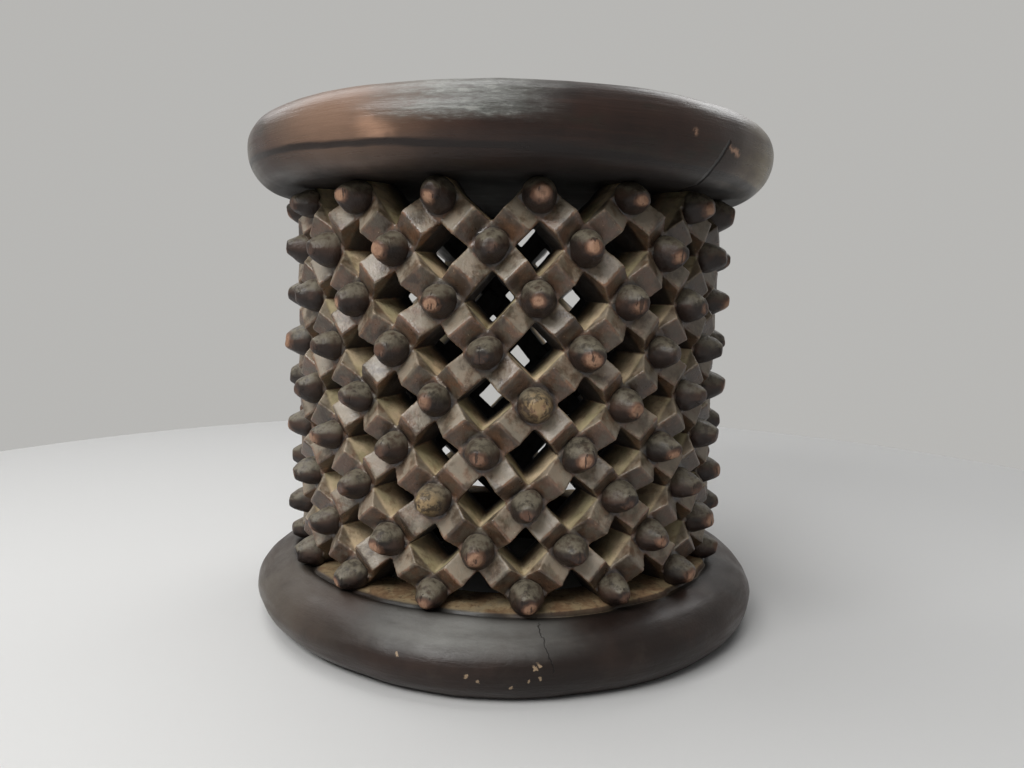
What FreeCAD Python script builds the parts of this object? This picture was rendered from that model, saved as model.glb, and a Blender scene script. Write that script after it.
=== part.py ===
import FreeCAD, Part
import math
import os
import Sketcher

# An openwork drum table, carved from one log: a thick round seat and a thick base ring, held
# apart by a wall of slanting struts that cross under round studs. Millimetres, +Z up, with the
# origin at the middle of the base ring's underside. Rows and bands are counted from the floor.

ROWS = 9
BANDS = ROWS - 1
STUD_COUNT = 16

# Each independent size, as the name it has in the sheet, its value, and what it means.
SIZES = (
    ("base_overhang", 47.0, "from the wall's outer face out to the base ring's widest line"),
    ("base_height", 53.0, "base ring, floor to the ledge that carries the wall"),
    ("base_ledge_margin", 4.0, "from the wall's outer face out to the ledge's edge"),
    ("base_foot_depth", 15.0, "from the widest line in to the edge on the floor"),
    ("base_shoulder_depth", 14.0, "from the widest line in to the top of the shoulder"),
    ("base_shoulder_rise", 20.3, "from the widest line up to the top of the shoulder"),
    ("base_shoulder_drop", 8.7, "from the ledge down to the top of the shoulder"),
    ("seat_overhang", 47.0, "from the wall's outer face out to the seat's widest line"),
    ("seat_thickness", 56.0, "seat, underside to top"),
    ("seat_widest_rise", 33.0, "from the seat's underside up to its widest line"),
    ("seat_under_depth", 22.0, "from the widest line in to the underside's edge"),
    ("seat_top_depth", 21.5, "from the widest line in to the top's edge"),
    ("wall_radius", 175.0, "outer face of the wall at the crossings"),
    ("wall_depth", 30.0, "wall, outer face to inner face"),
    ("row_pitch", 35.4, "from one row of studs up to the next"),
    ("first_row_rise", 6.4, "from the ledge up to the middle of the lowest row"),
    ("stud_radius", 12.6, "stud, at its foot"),
    ("stud_tip_radius", 5.5, "stud, at its blunt tip"),
    ("stud_length", 18.0, "stud, foot to tip"),
    ("stud_flank_radius", 30.0, "curve of the stud's side, foot to tip"),
    ("stud_seat_gap", 0.4, "between the top row's studs and the seat"),
    ("strut_width", 21.4, "strut, across its outer face"),
    ("crossing_reach", 13.5, "from the middle of a crossing to where a strut starts"),
    ("knee_rise", 7.5, "ridge across the middle of a strut, above the wall's face"),
    ("knee_flat", 1.2, "worn flat along the top of that ridge"),
    ("cut_overrun", 5.0, "how far a cut runs past what it cuts"),
)

# What follows from those sizes. The angles are in degrees.
DERIVED = (
    ("quarter_step", "90 deg / studs_in_row"),
    ("half_step", "180 deg / studs_in_row"),
    ("strut_chord", "2 * wall_radius * sin(quarter_step)"),
    ("strut_span", "sqrt(strut_chord ^ 2 + row_pitch ^ 2)"),
    ("strut_lean", "atan(row_pitch / strut_chord)"),
    ("joint_lean", "atan(tan(strut_lean) * cos(quarter_step))"),
    ("joint_side", "cos(joint_lean)"),
    ("joint_up", "sin(joint_lean)"),
    ("crossing_half_width", "crossing_reach * joint_side + strut_width / 2 * joint_up"),
    ("crossing_half_height", "crossing_reach * joint_up + strut_width / 2 * joint_side"),
    ("crossing_flat", "crossing_reach * joint_side - strut_width / 2 * joint_up"),
    ("crossing_side", "crossing_reach * joint_up - strut_width / 2 * joint_side"),
    ("crossing_slope", "(crossing_half_width - crossing_flat) / (crossing_half_height - crossing_side)"),
    ("last_row_drop", "stud_radius + stud_seat_gap"),
    ("top_flat", "crossing_half_width - (last_row_drop - crossing_side) * crossing_slope"),
    ("foot_flat", "crossing_half_width - (first_row_rise - crossing_side) * crossing_slope"),
    ("wall_inner_radius", "wall_radius - wall_depth"),
    ("strut_along", "joint_side * cos(quarter_step) * cos(strut_lean) + joint_up * sin(strut_lean)"),
    ("strut_end_slope", "joint_side * sin(quarter_step) / strut_along"),
    ("strut_end_offset", "crossing_reach * joint_side * sin(quarter_step)"),
    ("strut_face", "wall_radius * cos(quarter_step) + strut_end_offset"),
    ("strut_back", "strut_face - wall_depth * cos(quarter_step)"),
    ("strut_face_half", "strut_span / 2 - crossing_reach / strut_along + strut_end_slope * strut_end_offset"),
    ("strut_back_half", "strut_face_half - strut_end_slope * (strut_face - strut_back)"),
    ("strut_flare", "tan(quarter_step) * sin(strut_lean)"),
    ("strut_back_width", "strut_width - 2 * strut_flare * (strut_face - strut_back)"),
    ("knee_face", "strut_face + knee_rise"),
    ("stud_tip_reach", "wall_radius + stud_length"),
    ("base_hole_radius", "wall_inner_radius"),
    ("base_ledge_radius", "wall_radius + base_ledge_margin"),
    ("base_radius", "wall_radius + base_overhang"),
    ("base_foot_radius", "base_radius - base_foot_depth"),
    ("base_shoulder_radius", "base_radius - base_shoulder_depth"),
    ("base_shoulder_height", "base_height - base_shoulder_drop"),
    ("base_widest_height", "base_shoulder_height - base_shoulder_rise"),
    ("first_row_height", "base_height + first_row_rise"),
    ("seat_under", "first_row_height + (row_count - 1) * row_pitch + last_row_drop"),
    ("seat_widest", "seat_under + seat_widest_rise"),
    ("seat_top", "seat_under + seat_thickness"),
    ("seat_radius", "wall_radius + seat_overhang"),
    ("seat_under_radius", "seat_radius - seat_under_depth"),
    ("seat_top_radius", "seat_radius - seat_top_depth"),
)


def make_sheet(doc):
    """The sheet that every sub-part takes its sizes from."""
    sheet = doc.addObject("Spreadsheet::Sheet", "Sizes")
    rows = [(name, str(value), note) for name, value, note in SIZES]
    rows.append(("row_count", str(ROWS), "rows of studs"))
    rows.append(("studs_in_row", str(STUD_COUNT), "studs round the wall in every row"))
    rows += [(name, "=" + formula, "") for name, formula in DERIVED]
    for line, (name, content, note) in enumerate(rows, start=1):
        sheet.set("A%d" % line, name)
        sheet.set("B%d" % line, content)
        sheet.setAlias("B%d" % line, name)
        if note:
            sheet.set("C%d" % line, note)
    doc.recompute()
    return sheet


def size(sheet, name):
    """The number that a cell holds, where a leading minus sign turns it round."""
    if name == "0":
        return 0.0
    value = sheet.get(name.lstrip("-"))
    value = float(getattr(value, "Value", value))
    return -value if name.startswith("-") else value


def bind(thing, **sizes):
    """Tie properties of an object to cells of the sheet. Two underscores stand for a dot."""
    for prop, formula in sizes.items():
        thing.setExpression(prop.replace("__", "."), formula)


def cell(name):
    """A cell as an expression names it."""
    return "Sizes." + name


def origin_part(body, role):
    """One of the body's own origin planes or axes."""
    return next(part for part in body.Origin.OriginFeatures if part.Role == role)


def make_body(doc, label):
    """An empty body with the sub-part's name."""
    body = doc.addObject("PartDesign::Body", label)
    body.Label = label
    return body


def make_sketch(body, name, role):
    """A sketch on one of the body's origin planes."""
    sketch = body.newObject("Sketcher::SketchObject", name)
    sketch.AttachmentSupport = [(origin_part(body, role), "")]
    sketch.MapMode = "FlatFace"
    return sketch


def pin_point(sketch, sheet, edge, end, corner):
    """Hold one end of an edge at a corner whose two places are cells of the sheet."""
    for kind, axis, name in (("DistanceX", -2, corner[0]), ("DistanceY", -1, corner[1])):
        if name == "0":
            sketch.addConstraint(Sketcher.Constraint("PointOnObject", edge, end, axis))
            continue
        if name.startswith("-"):
            ends = (edge, end, -1, 1)
        else:
            ends = (-1, 1, edge, end)
        held = sketch.addConstraint(Sketcher.Constraint(kind, *ends, abs(size(sheet, name))))
        sketch.setExpression("Constraints[%d]" % held, cell(name.lstrip("-")))


def arc_centre(start, end, rule, value):
    """Centre of an anticlockwise arc, from its centre's height, its centre's reach, or its radius."""
    chord = end - start
    middle = (start + end) / 2
    left = FreeCAD.Vector(-chord.y, chord.x, 0).normalize()
    if rule == "level":
        return middle + left * ((value - middle.y) / left.y)
    if rule == "reach":
        return middle + left * ((value - middle.x) / left.x)
    return middle + left * math.sqrt(value ** 2 - chord.Length ** 2 / 4)


def draw_outline(sketch, sheet, corners, arcs=None):
    """A closed outline, drawn anticlockwise through its corners.

    A corner is a pair of cell names. arcs says which edges, counted from the first corner, are
    arcs, and whether a cell holds the height or the reach of the arc's centre, or its radius.
    """
    arcs = arcs or {}
    points = [FreeCAD.Vector(size(sheet, x), size(sheet, y), 0) for x, y in corners]
    for index, start in enumerate(points):
        end = points[(index + 1) % len(points)]
        if index not in arcs:
            sketch.addGeometry(Part.LineSegment(start, end), False)
            continue
        rule, name = arcs[index]
        centre = arc_centre(start, end, rule, size(sheet, name))
        angles = [math.atan2(point.y - centre.y, point.x - centre.x) for point in (start, end)]
        circle = Part.Circle(centre, FreeCAD.Vector(0, 0, 1), (start - centre).Length)
        sketch.addGeometry(Part.ArcOfCircle(circle, *angles), False)
    for index, corner in enumerate(corners):
        sketch.addConstraint(Sketcher.Constraint("Coincident", (index - 1) % len(corners), 2, index, 1))
        pin_point(sketch, sheet, index, 1, corner)
    for index, (rule, name) in arcs.items():
        if rule == "level":
            held = Sketcher.Constraint("DistanceY", -1, 1, index, 3, size(sheet, name))
        elif rule == "reach":
            held = Sketcher.Constraint("DistanceX", -1, 1, index, 3, size(sheet, name))
        else:
            held = Sketcher.Constraint("Radius", index, size(sheet, name))
        sketch.setExpression("Constraints[%d]" % sketch.addConstraint(held), cell(name))


def turn_profile(body, sketch, axis):
    """Turn a sketch a full round about one of its own axes."""
    turned = body.newObject("PartDesign::Revolution", "Turned")
    turned.Profile = sketch
    turned.ReferenceAxis = (sketch, [axis])
    turned.Angle = 360
    return turned


def repeat_round(doc, body):
    """Repeat all that the body holds so far round the wall, once for each stud in a row."""
    doc.recompute()
    ring = body.newObject("PartDesign::PolarPattern", "Round")
    ring.TransformMode = "Whole shape"
    ring.Axis = (origin_part(body, "Z_Axis"), [""])
    ring.Angle = 360
    bind(ring, Occurrences=cell("studs_in_row"))
    body.Tip = ring


def face_round(body, formula):
    """Turn a whole body about the upright axis by an angle from the sheet."""
    body.Placement = FreeCAD.Placement(FreeCAD.Vector(), FreeCAD.Rotation(FreeCAD.Vector(0, 0, 1), 0))
    bind(body, Placement__Rotation__Angle=formula)


def row_level(row):
    """Height of the middle of a row, as an expression."""
    return "Sizes.first_row_height + %s * Sizes.row_pitch" % row


def row_turn(row):
    """Every other row is turned half a step, so that its studs stand in the gaps."""
    return "Sizes.half_step" if row % 2 else "0 deg"


def base_ring(doc, sheet):
    """The thick ring on the floor: flat below, rounded outside, with a ledge for the wall."""
    body = make_body(doc, "base_ring")
    sketch = make_sketch(body, "Section", "XZ_Plane")
    corners = [
        ("base_hole_radius", "0"),
        ("base_foot_radius", "0"),
        ("base_radius", "base_widest_height"),
        ("base_shoulder_radius", "base_shoulder_height"),
        ("base_ledge_radius", "base_height"),
        ("base_hole_radius", "base_height"),
    ]
    arcs = {
        1: ("level", "base_widest_height"),
        2: ("level", "base_widest_height"),
        3: ("reach", "base_ledge_radius"),
    }
    draw_outline(sketch, sheet, corners, arcs)
    turn_profile(body, sketch, "V_Axis")
    return body


def seat_slab(doc, sheet):
    """The thick round seat: flat above and below, with a full round rim."""
    body = make_body(doc, "seat_slab")
    sketch = make_sketch(body, "Section", "XZ_Plane")
    corners = [
        ("0", "seat_under"),
        ("seat_under_radius", "seat_under"),
        ("seat_radius", "seat_widest"),
        ("seat_top_radius", "seat_top"),
        ("0", "seat_top"),
    ]
    arcs = {1: ("level", "seat_widest"), 2: ("level", "seat_widest")}
    draw_outline(sketch, sheet, corners, arcs)
    turn_profile(body, sketch, "V_Axis")
    return body


def trim_at_ledge(body):
    """Cut the lowest studs flat where they would sink into the base ring's ledge."""
    cut = body.newObject("PartDesign::SubtractiveBox", "LedgeCut")
    cut.AttachmentSupport = [(origin_part(body, "XY_Plane"), "")]
    cut.MapMode = "FlatFace"
    bind(
        cut,
        Length="2 * (Sizes.stud_radius + Sizes.cut_overrun)",
        Width="Sizes.stud_length + 2 * Sizes.cut_overrun",
        Height="Sizes.stud_radius + Sizes.cut_overrun",
        AttachmentOffset__Base__x="-(Sizes.stud_radius + Sizes.cut_overrun)",
        AttachmentOffset__Base__y="Sizes.wall_radius - Sizes.cut_overrun",
        AttachmentOffset__Base__z="Sizes.base_height - Sizes.stud_radius - Sizes.cut_overrun",
    )


def studs_row(doc, sheet, row):
    """One row of blunt round studs, each seated on its crossing."""
    body = make_body(doc, "studs_row_%d" % (row + 1))
    sketch = make_sketch(body, "Section", "YZ_Plane")
    bind(sketch, AttachmentOffset__Base__y=row_level(row))
    corners = [
        ("wall_radius", "0"),
        ("stud_tip_reach", "0"),
        ("stud_tip_reach", "stud_tip_radius"),
        ("wall_radius", "stud_radius"),
    ]
    draw_outline(sketch, sheet, corners, {2: ("radius", "stud_flank_radius")})
    turn_profile(body, sketch, "H_Axis")
    if row == 0:
        trim_at_ledge(body)
    repeat_round(doc, body)
    face_round(body, row_turn(row))
    return body


def crossings_row(doc, sheet, row):
    """One row of eight-sided blocks, where the struts cross and end.

    The lowest row is cut flat on the ledge, and the highest row under the seat.
    """
    body = make_body(doc, "crossings_row_%d" % (row + 1))
    sketch = make_sketch(body, "Outline", "XZ_Plane")
    foot, foot_flat = ("first_row_rise", "foot_flat") if row == 0 else ("crossing_half_height", "crossing_flat")
    top, top_flat = ("last_row_drop", "top_flat") if row == ROWS - 1 else ("crossing_half_height", "crossing_flat")
    corners = [
        ("-" + foot_flat, "-" + foot),
        (foot_flat, "-" + foot),
        ("crossing_half_width", "-crossing_side"),
        ("crossing_half_width", "crossing_side"),
        (top_flat, top),
        ("-" + top_flat, top),
        ("-crossing_half_width", "crossing_side"),
        ("-crossing_half_width", "-crossing_side"),
    ]
    draw_outline(sketch, sheet, corners)
    bind(sketch, AttachmentOffset__Base__y=row_level(row), AttachmentOffset__Base__z="-Sizes.wall_inner_radius")
    block = body.newObject("PartDesign::Pad", "Block")
    block.Profile = sketch
    block.Reversed = True
    bind(block, Length=cell("wall_depth"))
    repeat_round(doc, body)
    face_round(body, row_turn(row))
    return body


def add_wedge(body, name, lean, level, sizes):
    """A block that narrows from one face to the other, laid along a slanting strut."""
    wedge = body.newObject("PartDesign::AdditiveWedge", name)
    wedge.AttachmentSupport = [(origin_part(body, "XY_Plane"), "")]
    wedge.MapMode = "FlatFace"
    tilt = FreeCAD.Rotation(FreeCAD.Vector(0, 1, 0), 1)
    wedge.AttachmentOffset = FreeCAD.Placement(FreeCAD.Vector(), tilt)
    bind(wedge, AttachmentOffset__Rotation__Angle=lean, AttachmentOffset__Base__z=level, **sizes)


def struts_band(doc, side, band):
    """The short struts between two rows that lean one way, seen from outside.

    Each is a shank through the wall's whole depth, with a ridge across its outer face. Its ends
    lie flat against the crossings below and above, and its flanks line the openings beside it.
    """
    body = make_body(doc, "%s_struts_%d" % (side, band + 1))
    leaning = 1 if side == "right" else -1
    lean = "%d * Sizes.strut_lean" % leaning
    level = row_level("%s" % (band + 0.5))
    shank = {
        "Xmin": "-Sizes.strut_back_half",
        "Xmax": "Sizes.strut_back_half",
        "X2min": "-Sizes.strut_face_half",
        "X2max": "Sizes.strut_face_half",
        "Ymin": "Sizes.strut_back",
        "Ymax": "Sizes.strut_face",
        "Zmin": "-Sizes.strut_back_width / 2",
        "Zmax": "Sizes.strut_back_width / 2",
        "Z2min": "-Sizes.strut_width / 2",
        "Z2max": "Sizes.strut_width / 2",
    }
    knee = {
        "Xmin": "-Sizes.strut_face_half",
        "Xmax": "Sizes.strut_face_half",
        "X2min": "-Sizes.knee_flat / 2",
        "X2max": "Sizes.knee_flat / 2",
        "Ymin": "Sizes.strut_face",
        "Ymax": "Sizes.knee_face",
        "Zmin": "-Sizes.strut_width / 2",
        "Zmax": "Sizes.strut_width / 2",
        "Z2min": "-Sizes.strut_width / 2",
        "Z2max": "Sizes.strut_width / 2",
    }
    add_wedge(body, "Shank", lean, level, shank)
    add_wedge(body, "Knee", lean, level, knee)
    repeat_round(doc, body)
    face_round(body, "%s + %d * Sizes.quarter_step" % (row_turn(band), leaning))
    return body


def make_parts(doc, sheet):
    """Every sub-part, from the floor up."""
    parts = [base_ring(doc, sheet)]
    for row in range(ROWS):
        parts.append(crossings_row(doc, sheet, row))
        parts.append(studs_row(doc, sheet, row))
    for band in range(BANDS):
        parts.append(struts_band(doc, "right", band))
        parts.append(struts_band(doc, "left", band))
    parts.append(seat_slab(doc, sheet))
    return parts


def check_document(doc, parts):
    """Stop if any object failed, or if a sub-part has no sound shape."""
    for thing in doc.Objects:
        if "Invalid" in thing.State or "Error" in thing.State:
            raise RuntimeError("%s failed: %s" % (thing.Label, thing.State))
    for part in parts:
        if part.Shape.isNull() or not part.Shape.isValid():
            raise RuntimeError("%s has no sound shape" % part.Label)


def main():
    """Build the document, check it and write one file for each sub-part."""
    doc = FreeCAD.newDocument("DrumTable")
    sheet = make_sheet(doc)
    parts = make_parts(doc, sheet)
    doc.recompute()
    check_document(doc, parts)
    os.makedirs("parts", exist_ok=True)
    for part in parts:
        part.Shape.exportStep("parts/%s.step" % part.Label)
        print("%-18s %3d solids %12.0f mm3" % (part.Label, len(part.Shape.Solids), part.Shape.Volume))


main()
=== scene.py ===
import logging
import math
from dataclasses import dataclass
from enum import Enum

import bmesh
import bpy
import numpy as np
from mathutils import Matrix, Vector


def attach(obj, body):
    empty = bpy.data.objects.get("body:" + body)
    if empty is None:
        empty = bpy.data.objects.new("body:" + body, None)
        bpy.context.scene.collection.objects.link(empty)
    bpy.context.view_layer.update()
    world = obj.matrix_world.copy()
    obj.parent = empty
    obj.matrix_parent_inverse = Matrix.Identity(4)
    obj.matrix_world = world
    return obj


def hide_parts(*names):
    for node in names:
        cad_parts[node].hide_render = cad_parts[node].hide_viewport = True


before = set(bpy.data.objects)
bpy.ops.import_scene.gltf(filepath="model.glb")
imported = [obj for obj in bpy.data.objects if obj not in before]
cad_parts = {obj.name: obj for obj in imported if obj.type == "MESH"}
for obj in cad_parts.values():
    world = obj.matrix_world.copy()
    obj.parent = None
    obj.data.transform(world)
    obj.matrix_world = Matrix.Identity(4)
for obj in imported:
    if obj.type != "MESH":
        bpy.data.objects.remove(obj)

# An openwork drum table carved from one log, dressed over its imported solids. Metres, +Z up.

log = logging.getLogger("drum_table")

MM = 0.001
Colour = tuple[float, float, float]
Place = tuple[float, float, float]
Profile = list[tuple[float, float]]
# Lumps in a metre, finer layers, their strength, and which pattern.
Grain = tuple[float, float, float, float]
# Height, waves in a full turn, slant with the level, and start.
Wave = tuple[float, float, float, float]


class Slot(Enum):
    """Material slots of the record, one for each kind of piece."""

    SEAT = "seat_wood"
    BASE = "base_wood"
    WALL = "wall_wood"
    STUD = "stud_wood"


class Lean(Enum):
    """Which way a strut leans going up, seen from outside."""

    RIGHT = 1
    LEFT = -1


class NodeSheet:
    """Short calls that make and join the nodes of one tree."""

    def __init__(self, tree: bpy.types.NodeTree) -> None:
        """Keep the tree that the nodes go into."""
        self.tree = tree

    def feed(self, socket: bpy.types.NodeSocket, value: object) -> None:
        """Give a socket a link where the value is a socket, and a constant otherwise.

        Args:
            socket: The input to feed.
            value: An output socket, a number, or a tuple of numbers.
        """
        if isinstance(value, bpy.types.NodeSocket):
            self.tree.links.new(value, socket)
        elif socket.type == "RGBA" and len(value) == 3:
            socket.default_value = (*value, 1.0)
        else:
            socket.default_value = value

    def add(self, kind: str, inputs: dict | None = None, **settings: object) -> bpy.types.Node:
        """Make one node.

        Args:
            kind: Blender's name for the node's type.
            inputs: Value or output socket for each input, by name or by number.
            **settings: Properties of the node itself.

        Returns:
            The node.
        """
        node = self.tree.nodes.new(kind)
        for name, value in settings.items():
            setattr(node, name, value)
        for name, value in (inputs or {}).items():
            self.feed(node.inputs[name], value)
        return node

    def math(self, operation: str, *values: object, clamp: bool = False) -> object:
        """One step of arithmetic on numbers.

        Args:
            operation: Blender's name for the step.
            *values: The numbers or sockets that it works on.
            clamp: Whether the answer stays between 0 and 1.

        Returns:
            The socket that holds the answer.
        """
        inputs = dict(enumerate(values))
        return self.add("ShaderNodeMath", inputs, operation=operation, use_clamp=clamp).outputs[0]

    def times(self, first: object, *others: object) -> object:
        """The product of some numbers."""
        for other in others:
            first = self.math("MULTIPLY", first, other)
        return first

    def plus(self, first: object, *others: object) -> object:
        """The sum of some numbers."""
        for other in others:
            first = self.math("ADD", first, other)
        return first

    def mixed(self, *parts: tuple[object, float]) -> object:
        """The sum of some numbers, each times its share."""
        return self.plus(*[self.times(value, share) for value, share in parts])

    def vector(self, operation: str, *values: object) -> object:
        """One step of arithmetic on vectors, which gives a vector."""
        return self.add("ShaderNodeVectorMath", dict(enumerate(values)), operation=operation).outputs[0]

    def measure(self, operation: str, *values: object) -> object:
        """One step of arithmetic on vectors, which gives a number."""
        inputs = dict(enumerate(values))
        return self.add("ShaderNodeVectorMath", inputs, operation=operation).outputs["Value"]

    def ramp(self, value: object, low: float, high: float,
             to_low: float = 0.0, to_high: float = 1.0) -> object:
        """Carry a range of numbers smoothly to another range, and hold it there outside.

        Args:
            value: The number to carry over.
            low: Start of its range.
            high: End of its range.
            to_low: What the start becomes.
            to_high: What the end becomes.

        Returns:
            The socket that holds the answer.
        """
        inputs = {"Value": value, "From Min": low, "From Max": high, "To Min": to_low, "To Max": to_high}
        return self.add("ShaderNodeMapRange", inputs, interpolation_type="SMOOTHSTEP").outputs[0]

    def noise(self, place: object, grain: Grain, output: int = 0) -> object:
        """Smooth noise between 0 and 1, as a number from output 0 or as a colour from output 1."""
        inputs = dict(zip(("Scale", "Detail", "Roughness", "W"), grain))
        node = self.add("ShaderNodeTexNoise", {"Vector": place, **inputs}, noise_dimensions="4D")
        return node.outputs[output]

    def stretched(self, place: object, scale: tuple[float, float, float]) -> object:
        """A place that is scaled unevenly, for a pattern that runs along one axis."""
        return self.vector("MULTIPLY", place, scale)

    def blend(self, amount: object, first: object, second: object) -> object:
        """A colour between the first, where the amount is 0, and the second, where it is 1."""
        return self.add("ShaderNodeMix", {0: amount, 6: first, 7: second}, data_type="RGBA").outputs[2]

    def spot(self, place: object, centre: Place, size: float) -> object:
        """From 1, at the centre of a mark, to 0, at its size and beyond."""
        return self.ramp(self.measure("DISTANCE", place, centre), 0.0, size, 1.0, 0.0)

    def seam(self, place: object, start: Place, end: Place, width: float) -> object:
        """How near a place is to a straight crack.

        Args:
            place: Place on the object.
            start: One end of the crack.
            end: The other end.
            width: How far the crack reaches to each side.

        Returns:
            From 1, on the crack, to 0, beyond its width.
        """
        along = Vector(end) - Vector(start)
        offset = self.vector("SUBTRACT", place, start)
        reach = self.measure("DOT_PRODUCT", offset, tuple(along / along.length_squared))
        share = self.math("ADD", reach, 0.0, clamp=True)
        foot = self.add("ShaderNodeVectorMath", {0: tuple(along), "Scale": share}, operation="SCALE")
        return self.ramp(self.measure("DISTANCE", offset, foot.outputs[0]), 0.0, width, 1.0, 0.0)

    def shaken(self, place: object, scale: float, amount: float, seed: float = 0.0) -> object:
        """A place that strays a little, for marks with an uneven outline.

        Args:
            place: Place on the object.
            scale: Lumps in a metre.
            amount: How far it strays, in metres.
            seed: Which pattern to take.

        Returns:
            The socket that holds the place.
        """
        stray = self.noise(place, (scale, 3.0, 0.6, seed), output=1)
        centred = self.vector("SUBTRACT", stray, (0.5, 0.5, 0.5))
        return self.vector("ADD", place, self.stretched(centred, (amount, amount, amount)))

    def worn(self, name: str) -> object:
        """A number that the mesh carries at each point, such as how far an edge is rubbed."""
        return self.add("ShaderNodeAttribute", attribute_name=name).outputs["Fac"]

    def place(self) -> object:
        """Place on the object."""
        return self.add("ShaderNodeTexCoord").outputs["Object"]

    def part(self, vector: object, axis: int) -> object:
        """One part of a vector, by the number of its axis."""
        return self.add("ShaderNodeSeparateXYZ", {0: vector}).outputs[axis]

    def facing(self) -> object:
        """How far up the surface looks, from -1 to 1."""
        return self.part(self.add("ShaderNodeNewGeometry").outputs["Normal"], 2)


class Paint:
    """The colour of a surface, which takes one coat after another."""

    def __init__(self, sheet: NodeSheet, colour: object) -> None:
        """Start with one colour."""
        self.sheet, self.colour = sheet, colour

    def coat(self, amount: object, tint: object) -> None:
        """Cover the colour with a tint, from 0, not at all, to 1, wholly."""
        self.colour = self.sheet.blend(amount, self.colour, tint)


@dataclass(frozen=True)
class Finish:
    """What the finishes share: a name, and a way to put their nodes together."""

    name: str

    def material(self) -> bpy.types.Material:
        """The finish as a material."""
        made = bpy.data.materials.new(self.name)
        made.use_nodes = True
        made.node_tree.nodes.clear()
        self.lay_on(NodeSheet(made.node_tree))
        return made

    def lay_on(self, sheet: NodeSheet) -> None:
        """Make the nodes of the finish on an empty sheet."""
        raise NotImplementedError

    @staticmethod
    def front(sheet: NodeSheet, place: object) -> object:
        """From 1, on the front of the drum, to 0, on the rest."""
        return sheet.ramp(sheet.part(place, 1), -0.12, -0.08, 1.0, 0.0)

    @staticmethod
    def surface(sheet: NodeSheet, colour: object, rough: object, bump: object,
                depth: float, gloss: float) -> None:
        """Join colour, roughness and relief to one surface shader.

        Args:
            sheet: The material's nodes.
            colour: Base colour.
            rough: Roughness.
            bump: Height of the relief.
            depth: What a height of 1 stands for, in metres.
            gloss: Specular level of the shader.
        """
        relief = sheet.add("ShaderNodeBump", {"Height": bump, "Strength": 1.0, "Distance": depth}).outputs[0]
        inputs = {"Base Color": colour, "Roughness": rough, "Normal": relief, "Specular IOR Level": gloss}
        shader = sheet.add("ShaderNodeBsdfPrincipled", inputs)
        sheet.add("ShaderNodeOutputMaterial", {"Surface": shader.outputs[0]})

    @staticmethod
    def log_end(sheet: NodeSheet, place: object) -> tuple[object, object]:
        """Yearly rings of the log, where its end grain shows on a flat face.

        Args:
            sheet: The material's nodes.
            place: Place on the object.

        Returns:
            The rings, from 0 to 1, and how far a face lies flat, from 0 to 1.
        """
        level = sheet.stretched(place, (1.0, 1.0, 0.0))
        bent = sheet.noise(level, (7.0, 3.0, 0.5, 21.0))
        count = sheet.times(sheet.math("MULTIPLY_ADD", bent, 0.060, sheet.measure("LENGTH", level)), 1150.0)
        faded = sheet.ramp(sheet.noise(level, (26.0, 3.0, 0.6, 8.0)), 0.35, 0.65, 0.15, 1.0)
        rings = sheet.times(sheet.ramp(sheet.math("SINE", count), 0.0, 1.0), faded)
        return rings, sheet.ramp(sheet.math("ABSOLUTE", sheet.facing()), 0.90, 0.99)


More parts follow.
